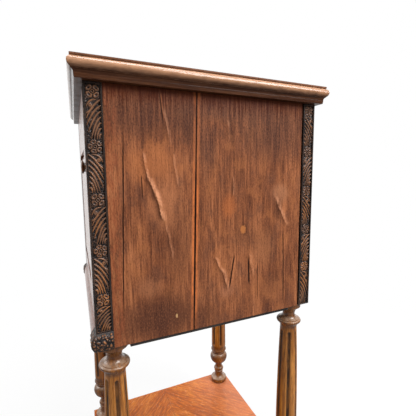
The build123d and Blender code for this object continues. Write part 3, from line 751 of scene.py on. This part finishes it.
def closedSheet(name, top, sink, relief):
    # solid under a grid of points: the sheet, its rim walls and one flat face behind
    rows, columns = relief.shape
    index = np.arange(rows * columns).reshape(rows, columns)
    corners = (index[:-1, :-1], index[:-1, 1:], index[1:, 1:], index[1:, :-1])
    faces = np.stack(corners, axis=-1).reshape(-1, 4).tolist()
    rim = [*index[0, :-1], *index[:-1, -1], *index[-1, :0:-1], *index[:0:-1, 0]]
    rim = [int(each) for each in rim]
    points = top.reshape(-1, 3)
    base = list(range(len(points), len(points) + len(rim)))
    for here in range(len(rim)):
        after = (here + 1) % len(rim)
        faces.append([base[here], base[after], rim[after], rim[here]])
    faces.append(base[::-1])
    mesh = bpy.data.meshes.new(name)
    mesh.from_pydata(np.vstack([points, points[rim] - np.array(sink)]).tolist(), [], faces)
    values = np.concatenate([relief.reshape(-1), np.zeros(len(rim))])
    mesh.attributes.new("relief", "FLOAT", "POINT").data.foreach_set("value", values)
    mesh.polygons.foreach_set("use_smooth", [len(face) == 4 and face[0] < len(points) for face in faces])
    return mesh


def addPiece(name, mesh, body, material):
    mesh.materials.append(material)
    piece = bpy.data.objects.new(name, mesh)
    bpy.context.scene.collection.objects.link(piece)
    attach(piece, body)
    return piece


# slivers lifted off the right side, in metres, points along and across each, and shares of its size
flakes = {
    "rise": 0.0016, "root": 0.00015, "sink": 0.0006, "along": 41, "across": 21,
    "behind": 0.2, "steep": 0.15, "ends": 0.3,
}


def smooth(share):
    share = np.clip(share, 0.0, 1.0)
    return share * share * (3.0 - 2.0 * share)


def flakeSheet(face, start, finish, breadth, depth):
    # steep on the torn side, easing back into the board on the other
    along = np.linspace(0.0, 1.0, flakes["along"])[:, None]
    across = np.linspace(-flakes["behind"], 1.0, flakes["across"])[None, :]
    z = finish[1] + (start[1] - finish[1]) * along + across * 0.0
    y = finish[0] + (start[0] - finish[0]) * along + across * breadth
    for amount, turns, begin in marks["sway"]:
        y = y - amount * np.sin(z * turns + begin)
    swell = smooth(across / flakes["steep"] + 1.0) * (1.0 - smooth(across))
    swell = swell * smooth(along / flakes["ends"]) * smooth((1.0 - along) / flakes["ends"])
    x = face - flakes["root"] + flakes["rise"] * depth * swell
    return closedSheet("flake", np.stack([x, y, z], axis=-1), (flakes["sink"], 0.0, 0.0), swell)


def addFlakes():
    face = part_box("side_board_right_front")[1].x
    joined = bmesh.new()
    for start, finish, breadth, depth in marks["flakes"]:
        sheet = flakeSheet(face, start, finish, breadth, depth)
        joined.from_mesh(sheet)
        bpy.data.meshes.remove(sheet)
    mesh = bpy.data.meshes.new("liftedFlakes")
    joined.to_mesh(mesh)
    joined.free()
    addPiece("liftedFlakes", mesh, "table", materials["board"])


addFlakes()
print("flakes lifted")

# carved runs on the corner strips, in metres
carving = {
    "sink": 0.0022, "margin": 0.0020, "height": 0.0019, "lift": 0.0001, "root": 0.0003, "step": 0.00045,
    "flower": 0.0164, "pitch": 0.0610,
}
# bumps of the punched ground, in metres, with shares of their pitch and of the carving's height
punch = {"pitch": 0.0019, "stray": 0.35, "reach": 0.55, "reachStray": 0.5, "rise": 0.42, "riseStray": 0.4}
# a flower's reach in metres, and shares of it: notches, the dip in each petal, the heart and the eye's ring
flowers = {
    "reach": 0.0081, "notch": 0.12, "dip": 0.8, "dipAt": 0.66, "dipLong": 0.17, "dipWide": 0.5,
    "heart": 0.32, "heartFade": 0.1, "eye": 0.9, "eyeAt": 0.2, "eyeWide": 0.08,
}
# a spray's leaflets in millimetres, across and up: root, bend and tip of the first, and how far each moves
# by the last; the tip goes across only after a share of the fan, and none goes below the foot
spray = {
    "leaflets": 7, "breadth": 1.9, "least": 0.2, "ridge": 1.4, "steps": 48, "tipStays": 0.25, "foot": -22.0,
    "root": (7.9, 21.6), "rootMoves": (0.0, -38.0), "bend": (-1.4, 15.6), "bendMoves": (6.4, -32.0),
    "tip": (-7.7, 0.8), "tipMoves": (17.5, -46.0),
}
# curls above the fan: root, bend, tip and half breadth
curls = [
    ((3.0, 21.6), (-4.5, 21.8), (-7.4, 13.0), 1.6),
    ((-7.6, 6.0), (-5.0, 8.2), (0.4, 12.6), 1.5),
]
berry = {"centre": (-3.2, 15.2), "radius": 2.6, "eye": 0.9, "eyeFloor": 0.3}


def leafletPoint(part, shareAcross, shareUp):
    start, moves = spray[part], spray[part + "Moves"]
    return start[0] + moves[0] * shareAcross, start[1] + moves[1] * shareUp


def leafletCurves():
    # a fan that runs from the right edge to the left edge and the foot
    curves = list(curls)
    for share in np.linspace(0, 1, spray["leaflets"]):
        tipAcross, tipUp = leafletPoint("tip", max(0.0, share - spray["tipStays"]), share)
        tip = (tipAcross, max(spray["foot"], tipUp))
        root, bend = (leafletPoint(part, share, share) for part in ("root", "bend"))
        curves.append((root, bend, tip, spray["breadth"]))
    return curves


def dome(gap):
    # round top of reach 1
    return np.sqrt(np.clip(1 - gap**2, 0, 1))


def pebbles(across, up, seed):
    # the ground is punched all over with small uneven bumps
    draw = np.random.default_rng(seed)
    relief = np.zeros_like(across)
    pitch, stray = punch["pitch"], punch["stray"]
    for y in np.arange(across.min(), across.max() + pitch, pitch):
        for z in np.arange(up.min(), up.max() + pitch, pitch):
            shiftY, shiftZ, size = draw.uniform(-stray, stray, 3) * pitch
            reach = punch["reach"] * pitch + punch["reachStray"] * size
            gap = np.hypot(across - y - shiftY, up - z - shiftZ) / reach
            rise = punch["rise"] + size / pitch * punch["riseStray"]
            relief = np.maximum(relief, rise * dome(gap))
    return relief


def flowerRelief(across, up, petals):
    # hollowed petals with raised rims, lines cut between them and a ring round the eye
    reach = np.hypot(across, up) / flowers["reach"]
    turn = np.arctan2(up, across) * petals / (2 * math.pi)
    side = np.abs((turn % 1.0) * 2 - 1)
    inPetal = reach / (1 - flowers["notch"] * side**3)
    petal = dome(inPetal**4) * (1 - side**6)
    dip = ((inPetal - flowers["dipAt"]) / flowers["dipLong"]) ** 2 + (side / flowers["dipWide"]) ** 2
    petal *= 1 - flowers["dip"] * np.exp(-dip)
    petal *= np.clip((reach - flowers["heart"]) / flowers["heartFade"], 0, 1)
    eye = flowers["eye"] * np.exp(-(((reach - flowers["eyeAt"]) / flowers["eyeWide"]) ** 2))
    ground = pebbles(across, up, petals) * (reach > 1)
    return np.maximum(np.maximum(petal, eye), ground)


def sprayRelief(across, up, side):
    # long curved leaflets with sharp ridges, and a berry in the corner
    u, v = across * 1000 * side, up * 1000
    relief = np.zeros_like(u)
    for root, bend, tip, breadth in leafletCurves():
        nearest = np.full(u.shape, 1e9)
        width = np.ones_like(u)
        for share in np.linspace(0, 1, spray["steps"]):
            at = [(1 - share) ** 2 * a + 2 * share * (1 - share) * b + share**2 * c
                  for a, b, c in zip(root, bend, tip)]
            gap = np.hypot(u - at[0], v - at[1])
            closer = gap < nearest
            nearest = np.where(closer, gap, nearest)
            swell = breadth * math.sin(math.pi * (0.15 + 0.75 * share)) + spray["least"]
            width = np.where(closer, swell, width)
        relief = np.maximum(relief, np.clip(1 - (nearest / width) ** spray["ridge"], 0, 1))
    reach = np.hypot(u - berry["centre"][0], v - berry["centre"][1])
    ball = dome(reach / berry["radius"]) * np.clip(reach / berry["eye"], berry["eyeFloor"], 1)
    relief = np.maximum(relief, ball)
    return np.maximum(relief, pebbles(across, up, 2 + side))


def motif(name, length, shape):
    # one carved tile facing +X, with y across and z up
    columns = round(carving["flower"] / carving["step"]) + 1
    rows = round(length / carving["step"]) + 1
    half = carving["flower"] / 2
    across, up = np.meshgrid(np.linspace(-half, half, columns), np.linspace(-length / 2, length / 2, rows))
    relief = shape(across, up)
    top = np.stack([carving["lift"] + carving["height"] * relief, across, up], axis=-1)
    mesh = closedSheet(name, top, (carving["root"], 0.0, 0.0), relief)
    return bpy.data.objects.new(name, mesh)


def motifTree():
    # sets the chosen motif on each point, turned and stretched as the point says
    tree = bpy.data.node_groups.new("setMotifs", "GeometryNodeTree")
    kinds = {"Geometry": "Geometry", "Material": "Material"}
    kinds.update({f"Motif {index}": "Object" for index in range(4)})
    for label, kind in kinds.items():
        tree.interface.new_socket(label, in_out="INPUT", socket_type="NodeSocket" + kind)
    tree.interface.new_socket("Geometry", in_out="OUTPUT", socket_type="NodeSocketGeometry")
    wire = Wire(tree)

    def given(label):
        return wire.node("NodeGroupInput", out=label)

    def stored(label, kind):
        return wire.node("GeometryNodeInputNamedAttribute", {"Name": label}, data_type=kind)

    sets = []
    for index in range(4):
        piece = wire.node("GeometryNodeObjectInfo", {"Object": given(f"Motif {index}")}, "Geometry")
        sockets = {2: stored("kind", "INT"), 3: index}
        chosen = wire.node("FunctionNodeCompare", sockets, data_type="INT", operation="EQUAL")
        sets.append(wire.node("GeometryNodeInstanceOnPoints", {
            "Points": given("Geometry"), "Selection": chosen, "Instance": piece,
            "Rotation": stored("turn", "FLOAT_VECTOR"), "Scale": stored("stretch", "FLOAT_VECTOR"),
        }))
    joined = wire.node("GeometryNodeJoinGeometry", {0: sets})
    real = wire.node("GeometryNodeRealizeInstances", {0: joined})
    dressed = wire.node("GeometryNodeSetMaterial", {0: real, "Material": given("Material")})
    wire.node("NodeGroupOutput", {0: dressed})
    return tree


setMotifs = motifTree()
unstretched = (1.0, 1.0, 1.0)


def grow(name, spots, motifs, body, material):
    # spots hold place, kind, turn and stretch; the result is a plain mesh on its body
    places, kinds, turns, stretches = zip(*spots)
    mesh = bpy.data.meshes.new(name + "Spots")
    mesh.from_pydata([tuple(place) for place in places], [], [])
    mesh.attributes.new("kind", "INT", "POINT").data.foreach_set("value", kinds)
    for label, vectors in (("turn", turns), ("stretch", stretches)):
        flat = [value for vector in vectors for value in vector]
        mesh.attributes.new(label, "FLOAT_VECTOR", "POINT").data.foreach_set("vector", flat)
    piece = bpy.data.objects.new(name, mesh)
    bpy.context.scene.collection.objects.link(piece)
    modifier = piece.modifiers.new("setMotifs", "NODES")
    modifier.node_group = setMotifs
    sockets = [item for item in setMotifs.interface.items_tree if item.in_out == "INPUT"]
    ids = {item.name: item.identifier for item in sockets}
    modifier[ids["Material"]] = material
    for index, each in enumerate(motifs):
        modifier[ids[f"Motif {index}"]] = each
    graph = bpy.context.evaluated_depsgraph_get()
    made = bpy.data.meshes.new_from_object(piece.evaluated_get(graph), depsgraph=graph)
    piece.modifiers.remove(modifier)
    piece.data = made
    bpy.data.meshes.remove(mesh)
    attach(piece, body)
    return piece


def runSpots(strip, facing, angle, lean):
    # flowers at an even pitch down one strip, with a spray in each space between
    low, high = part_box(strip)
    face = low if sum(facing) < 0 else high
    ground = [(low[axis] + high[axis]) / 2 for axis in (0, 1)]
    for axis in (0, 1):
        if facing[axis]:
            ground[axis] = face[axis] - facing[axis] * carving["sink"]
    bottom, top = low.z + carving["margin"], high.z - carving["margin"]
    half = carving["flower"] / 2
    turn = (0.0, 0.0, angle)
    spots = []
    centre = top - half
    while centre - half > bottom:
        flower = len(spots) // 2 % 2
        spots.append(((*ground, centre), flower, turn, unstretched))
        following = centre - carving["pitch"]
        foot = following + half if following - half > bottom else bottom
        space = centre - half - foot
        leafy = 2 + (len(spots) // 2 + lean) % 2
        stretch = space / (carving["pitch"] - carving["flower"])
        spots.append(((*ground, foot + space / 2), leafy, turn, (1.0, 1.0, stretch)))
        centre = following
    return spots


def addCarving():
    space = carving["pitch"] - carving["flower"]
    motifs = [
        motif("flowerFour", carving["flower"], lambda across, up: flowerRelief(across, up, 4)),
        motif("flowerFive", carving["flower"], lambda across, up: flowerRelief(across, up, 5)),
        motif("sprayFalling", space, lambda across, up: sprayRelief(across, up, 1)),
        motif("sprayRising", space, lambda across, up: sprayRelief(across, up, -1)),
    ]
    sides = {
        "Right": ((1, 0, 0), 0.0, "strip_right_side_front", "strip_right_side_rear"),
        "Rear": ((0, 1, 0), math.pi / 2, "strip_rear_right", "strip_rear_left"),
        "Left": ((-1, 0, 0), math.pi, "strip_left_side_rear", "strip_left_side_front"),
        "Front": ((0, -1, 0), -math.pi / 2, "strip_front_left", "strip_front_right"),
    }
    for side, (facing, angle, first, second) in sides.items():
        spots = runSpots(first, facing, angle, 0) + runSpots(second, facing, angle, 1)
        piece = grow("carving" + side, spots, motifs, "table", materials["carved"])
        print("carving", side, len(piece.data.polygons), "faces")
    for each in motifs:
        bpy.data.meshes.remove(each.data)


addCarving()

# leafy lumps carved on the corner bosses, in metres
boss = {
    "bulge": 0.0055, "height": 0.0013, "lift": 0.0001, "root": 0.0010, "inset": 0.0012, "rows": 64,
    "columns": 64, "lumps": 64, "lumpReach": (0.0011, 0.0021), "lumpStretch": (1.0, 2.2),
    "lumpRise": (0.6, 1.0), "ground": 0.25, "moatReach": 1.35, "moatRise": 0.4, "seed": 12,
}


def lumpRelief(across, up):
    # small uneven lobes laid over each other, each with a rounded top
    draw = np.random.default_rng(boss["seed"])
    relief = boss["ground"] * pebbles(across, up, boss["seed"])
    for _ in range(boss["lumps"]):
        y = draw.uniform(across.min(), across.max())
        z = draw.uniform(up.min(), up.max())
        reach = draw.uniform(*boss["lumpReach"])
        stretch = draw.uniform(*boss["lumpStretch"])
        turn = draw.uniform(0, math.pi)
        along = (across - y) * math.cos(turn) + (up - z) * math.sin(turn)
        beside = (up - z) * math.cos(turn) - (across - y) * math.sin(turn)
        gap = np.hypot(along / (reach * stretch), beside / reach)
        lump = draw.uniform(*boss["lumpRise"]) * dome(gap)
        moat = (gap < boss["moatReach"]) & (gap >= 1)
        relief = np.where(moat, relief * boss["moatRise"], np.maximum(relief * (gap >= 1), lump))
    return relief


def bossSheet(side, onFront):
    # the lumps wrapped over one swelled face of a boss
    low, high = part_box("boss_front_right" if side > 0 else "boss_front_left")
    halfHeight = (high.z - low.z) / 2
    radius = (halfHeight**2 + boss["bulge"] ** 2) / (2 * boss["bulge"])
    inset = boss["inset"]
    up = np.linspace(low.z + inset, high.z - inset, boss["rows"])
    swell = np.sqrt(radius**2 - (up - low.z - halfHeight) ** 2) - radius + boss["bulge"]
    if onFront:
        face = -(low.y + boss["bulge"])
        inner, corner = (low.x, high.x - boss["bulge"]) if side > 0 else (-high.x, -low.x - boss["bulge"])
    else:
        face = (high.x if side > 0 else -low.x) - boss["bulge"]
        inner, corner = -high.y, -low.y - boss["bulge"]
    share = np.linspace(0, 1, boss["columns"])
    along = inner + inset + share[None, :] * (corner + swell[:, None] - inner - 2 * inset)
    height = up[:, None] + 0 * along
    relief = lumpRelief(along, height)
    out = face + swell[:, None] + boss["lift"] + boss["height"] * relief
    if onFront:
        top = np.stack([along * side, -out, height], axis=-1)
        sink = (0.0, -boss["root"], 0.0)
    else:
        top = np.stack([out * side, -along, height], axis=-1)
        sink = (boss["root"] * side, 0.0, 0.0)
    if (side > 0) != onFront:
        top, relief = top[:, ::-1], relief[:, ::-1]
    return closedSheet("bossSheet", top, sink, relief)


def addBosses():
    for side, name in ((1, "bossCarvingRight"), (-1, "bossCarvingLeft")):
        for onFront, ending in ((False, "Side"), (True, "Front")):
            mesh = bossSheet(side, onFront)
            addPiece(name + ending, mesh, "table", materials["carved"])


addBosses()
print("bosses carved")


def legProfile():
    # rings down the leg as (radius, drop)
    rings = [legs["head"][0][:2]]
    steps = [*legs["head"][1:], (*legs["shaftFoot"], "shaft"), *legs["foot"]]
    for radius, drop, bow in steps:
        lastRadius, lastDrop = rings[-1]
        count = legs["shaftRings"] if bow == "shaft" else legs["arcSteps"] if bow else 1
        bulge = legs["shaftBow"] if bow == "shaft" else bow
        length = math.hypot(radius - lastRadius, drop - lastDrop)
        for share in np.linspace(0, 1, count + 1)[1:]:
            out = 4 * bulge * share * (1 - share) / length
            rings.append((lastRadius + (radius - lastRadius) * share + out * (drop - lastDrop),
                          lastDrop + (drop - lastDrop) * share - out * (radius - lastRadius)))
    return np.array(rings)


def fluted(radius, drop, angle):
    # radius of the shaft where a round-ended flute may be cut into it
    beyond = np.maximum(legs["fluteTop"] - drop, 0) + np.maximum(drop - legs["fluteFoot"], 0)
    bore = legs["fluteRadius"] ** 2 - beyond**2
    centre = radius + legs["fluteRadius"] - legs["fluteDepth"]
    step = 2 * math.pi / legs["flutes"]
    swing = (angle + step / 2) % step - step / 2
    inside = bore - (centre * np.sin(swing)) ** 2
    cut = centre * np.cos(swing) - np.sqrt(np.maximum(inside, 0))
    return np.where(inside > 0, np.minimum(radius, cut), radius)


def legMesh(name, axisX, axisY, top, turn):
    rings = legProfile()
    around = legs["around"]
    angle = np.arange(around) * 2 * math.pi / around
    radius = fluted(rings[:, :1], rings[:, 1:], angle[None, :]) / 1000
    heading = angle[None, :] + math.radians(turn)
    height = top - rings[:, 1:] / 1000 + 0 * radius
    points = np.stack([axisX + radius * np.cos(heading), axisY + radius * np.sin(heading), height], axis=-1)
    index = np.arange(len(rings) * around).reshape(len(rings), around)
    after = np.roll(index, -1, axis=1)
    faces = np.stack([index[1:], after[1:], after[:-1], index[:-1]], axis=-1).reshape(-1, 4).tolist()
    faces += [index[0].tolist(), index[-1][::-1].tolist()]
    mesh = bpy.data.meshes.new(name)
    mesh.from_pydata(points.reshape(-1, 3).tolist(), [], faces)
    mesh.polygons.foreach_set("use_smooth", [True] * len(faces))
    mesh.set_sharp_from_angle(angle=math.radians(legs["sharpFrom"]))
    return mesh


def addLegs():
    # finer turnings than the solids, with the flare that shows under the box
    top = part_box("post_front_right")[0].z
    for corner, turn in legs["turns"].items():
        low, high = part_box("leg_" + corner)
        mesh = legMesh("leg" + corner, (low.x + high.x) / 2, (low.y + high.y) / 2, top, turn)
        name = "turnedLeg" + corner.title().replace("_", "")
        piece = addPiece(name, mesh, "table", materials["turned"])
        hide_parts("leg_" + corner)


# half the seam between the shelf's leaves, in metres
leaves = {"seam": 0.00005}


def addLeaves():
    # four square leaves of veneer that meet in the middle of the shelf
    low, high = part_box("shelf_veneer")
    seam = leaves["seam"]
    points, faces = [], []
    for sideX in (-1, 1):
        for sideY in (-1, 1):
            xs = sorted((sideX * seam, high.x if sideX > 0 else low.x))
            ys = sorted((sideY * seam, high.y if sideY > 0 else low.y))
            first = len(points)
            points += [(x, y, z) for z in (low.z, high.z) for x, y in
                       ((xs[0], ys[0]), (xs[1], ys[0]), (xs[1], ys[1]), (xs[0], ys[1]))]
            sides = [(a, (a + 1) % 4, (a + 1) % 4 + 4, a + 4) for a in range(4)]
            faces += [tuple(first + corner for corner in face)
                      for face in [(3, 2, 1, 0), (4, 5, 6, 7), *sides]]
    mesh = bpy.data.meshes.new("leaves")
    mesh.from_pydata(points, [], faces)
    piece = addPiece("shelfLeaves", mesh, "table", materials["shelf"])
    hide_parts("shelf_veneer")


addLegs()
addLeaves()
print("legs and shelf leaves made")

# slotted hinge screws and nail heads, in metres
heads = {
    "around": 16, "root": 0.0002, "shoulder": 0.4, "crown": 0.8,
    "screw": {
        "radius": 0.0026, "rise": 0.00012, "slot": 0.0007, "apart": 0.0125, "fromBack": 0.0048,
        "firstTurn": 0.7, "turnStep": 1.3,
    },
    "nail": {
        "radius": 0.0021, "rise": 0.0004, "pitch": 0.058, "inset": 0.009, "aboveFoot": 0.014, "count": 6,
        "turnStep": 0.4, "underCount": 5, "underPitch": 0.0464,
    },
}


def headMesh(name, radius, rise, slot=0.0):
    # a low round head facing +X, in two halves where a slot crosses it
    points, faces = [], []
    for side in (1, -1) if slot else (0,):
        if side:
            angles = np.linspace(0, math.pi, heads["around"])
        else:
            angles = np.arange(heads["around"]) * 2 * math.pi / heads["around"]
        outline = np.stack([np.cos(angles), np.sin(angles) * (side or 1)], axis=-1) * radius
        if side:
            outline[:, 1] = side * np.maximum(np.abs(outline[:, 1]), slot / 2)
        if side < 0:
            outline = outline[::-1]
        middle = outline.mean(axis=0)
        first, count = len(points), len(outline)
        for share, out in ((1.0, -heads["root"]), (1.0, rise * heads["shoulder"]), (heads["crown"], rise)):
            points += [(out, *(middle + (spot - middle) * share)) for spot in outline]
        for ring in (first, first + count):
            for a in range(count):
                b = (a + 1) % count
                faces.append((ring + a, ring + b, ring + count + b, ring + count + a))
        faces.append(tuple(first + 2 * count + a for a in range(count)))
        faces.append(tuple(first + a for a in reversed(range(count))))
    mesh = bpy.data.meshes.new(name)
    mesh.from_pydata(points, [], faces)
    return bpy.data.objects.new(name, mesh)


def addScrews():
    # three in each leaf; they show when the lid is up
    screw = heads["screw"]
    head = headMesh("screwHead", screw["radius"], screw["rise"], screw["slot"])
    for leaf, body, up in (("box", "table", 1), ("lid", "lid", -1)):
        spots = []
        for end in ("left", "right"):
            low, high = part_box(f"lid_hinge_{leaf}_leaf_{end}")
            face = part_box("back_board_left")[1].z if up > 0 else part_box("lid_moulding_rear")[0].z
            for step in (-1, 0, 1):
                place = ((low.x + high.x) / 2 + step * screw["apart"], low.y + screw["fromBack"], face)
                turn = (screw["firstTurn"] + screw["turnStep"] * len(spots), -up * math.pi / 2, 0.0)
                spots.append((place, 0, turn, unstretched))
        grow("hingeScrews" + leaf.title(), spots, [head], body, materials["brass"])
    bpy.data.meshes.remove(head.data)


def addNails():
    # down both sides of the back and along the sides of the bottom
    nail = heads["nail"]
    head = headMesh("nailHead", nail["radius"], nail["rise"])
    spots = []
    for board, side in (("back_board_left", -1), ("back_board_right", 1)):
        low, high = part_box(board)
        edge = (high.x if side > 0 else -low.x) - nail["inset"]
        for step in range(nail["count"]):
            place = (side * edge, high.y, low.z + nail["aboveFoot"] + step * nail["pitch"])
            spots.append((place, 0, (nail["turnStep"] * step, 0.0, math.pi / 2), unstretched))
    low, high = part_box("bottom_board")
    for side in (-1, 1):
        for index in range(nail["underCount"]):
            step = index - nail["underCount"] // 2
            place = (side * (high.x - nail["inset"]), step * nail["underPitch"], low.z)
            spots.append((place, 0, (nail["turnStep"] * step, math.pi / 2, 0.0), unstretched))
    grow("nailHeads", spots, [head], "table", materials["iron"])
    bpy.data.meshes.remove(head.data)


addScrews()
addNails()
print("screws and nails set")

# camera at the photograph's viewing angle
view = {
    "place": (0.5292, -0.1781, 0.6233), "forward": (-0.9084, 0.4005, -0.1196), "roll": -0.0083,
    "lens": 26.0, "sensor": 36.0, "near": 0.01,
}


def addCamera():
    data = bpy.data.cameras.new("camera")
    data.lens = view["lens"]
    data.sensor_width = view["sensor"]
    data.sensor_height = view["sensor"]
    data.clip_start = view["near"]
    camera = bpy.data.objects.new("camera", data)
    turn = Vector(view["forward"]).to_track_quat("-Z", "Y").to_matrix().to_4x4()
    camera.matrix_world = Matrix.Translation(view["place"]) @ turn @ Matrix.Rotation(view["roll"], 4, "Z")
    bpy.context.scene.collection.objects.link(camera)
    bpy.context.scene.camera = camera


# soft studio light: an even room, and panels overhead, to the right, behind and to the front
studio = {
    "room": 0.50, "mirrored": 0.12, "brightSide": (-0.4, 0.4), "brightAbove": (0.4, 0.9),
    "panels": [
        {"place": (0.35, 0.10, 1.9), "aim": (0.1, 0.0, 0.7), "size": 0.6, "power": 10.0},
        {"place": (1.3, 0.9, 1.8), "aim": (0.0, 0.0, 0.5), "size": 1.0, "power": 34.0},
        {"place": (-1.3, 0.4, 1.4), "aim": (0.0, 0.0, 0.4), "size": 1.0, "power": 10.0},
        {"place": (-0.7, -1.5, 1.3), "aim": (0.0, 0.0, 0.5), "size": 1.0, "power": 12.0},
    ],
    "floorSize": 12.0, "floorTone": (0.32, 0.32, 0.32), "floorSeen": (0.88, 0.88, 0.88),
    "floorGlow": 0.82, "shadowFades": (0.35, 1.3), "floorMirrors": (-0.9, -0.2),
}


def addWorld():
    # white to the camera; mirrored, it is bright behind the table and overhead
    world = bpy.data.worlds.new("studio")
    bpy.context.scene.world = world
    world.use_nodes = True
    world.node_tree.nodes.clear()
    wire = Wire(world.node_tree)
    ray = {kind: wire.node("ShaderNodeLightPath", out=f"Is {kind} Ray")
           for kind in ("Camera", "Glossy", "Transmission")}
    heading = wire.node("ShaderNodeTexCoord", out="Generated")
    above = heading.axis("Z").ease(*studio["brightAbove"])
    bright = heading.axis("X").fall(*studio["brightSide"]).most(above)
    mirrored = bright.choose(studio["mirrored"], 1.0)
    strength = ray["Glossy"].most(ray["Transmission"]).choose(studio["room"], mirrored)
    strength = ray["Camera"].choose(strength, 1.0)
    background = wire.node("ShaderNodeBackground", {"Color": (1.0, 1.0, 1.0), "Strength": strength})
    wire.node("ShaderNodeOutputWorld", {"Surface": background})


def addPanels():
    for index, panel in enumerate(studio["panels"]):
        data = bpy.data.lights.new(f"panel{index}", "AREA")
        data.energy = panel["power"]
        data.size = panel["size"]
        light = bpy.data.objects.new(f"panel{index}", data)
        aim = (Vector(panel["aim"]) - Vector(panel["place"])).to_track_quat("-Z", "Y")
        light.matrix_world = Matrix.Translation(panel["place"]) @ aim.to_matrix().to_4x4()
        light.visible_camera = False
        bpy.context.scene.collection.objects.link(light)


def addFloor():
    # white where the camera sees it, apart from a soft shadow near the table
    half = studio["floorSize"] / 2
    corners = [(-half, -half, 0), (half, -half, 0), (half, half, 0), (-half, half, 0)]
    mesh = bpy.data.meshes.new("floor")
    mesh.from_pydata(corners, [], [(0, 1, 2, 3)])
    floor = bpy.data.objects.new("floor", mesh)
    bpy.context.scene.collection.objects.link(floor)
    material, wire, place = newMaterial("floor")
    camera = wire.node("ShaderNodeLightPath", out="Is Camera Ray")
    away = wire.vector("LENGTH", place, (0.0, 0.0, 0.0), "Value")
    share = away.ease(*studio["shadowFades"]).choose(studio["floorGlow"], 1.0)
    glossy = wire.node("ShaderNodeLightPath", out="Is Glossy Ray")
    glossy = glossy * place.axis("X").fall(*studio["floorMirrors"])
    colour = camera.blend(studio["floorTone"], studio["floorSeen"])
    paint = wire.node("ShaderNodeBsdfDiffuse", {"Color": colour})
    glow = wire.node("ShaderNodeEmission", {"Color": (1.0, 1.0, 1.0), "Strength": 1.0})
    mixed = wire.node("ShaderNodeMixShader", {0: (camera * share).most(glossy), 1: paint, 2: glow})
    wire.node("ShaderNodeOutputMaterial", {"Surface": mixed})
    mesh.materials.append(material)


addCamera()
addWorld()
addPanels()
addFloor()
bpy.context.scene.view_settings.view_transform = "Standard"
print("studio set")
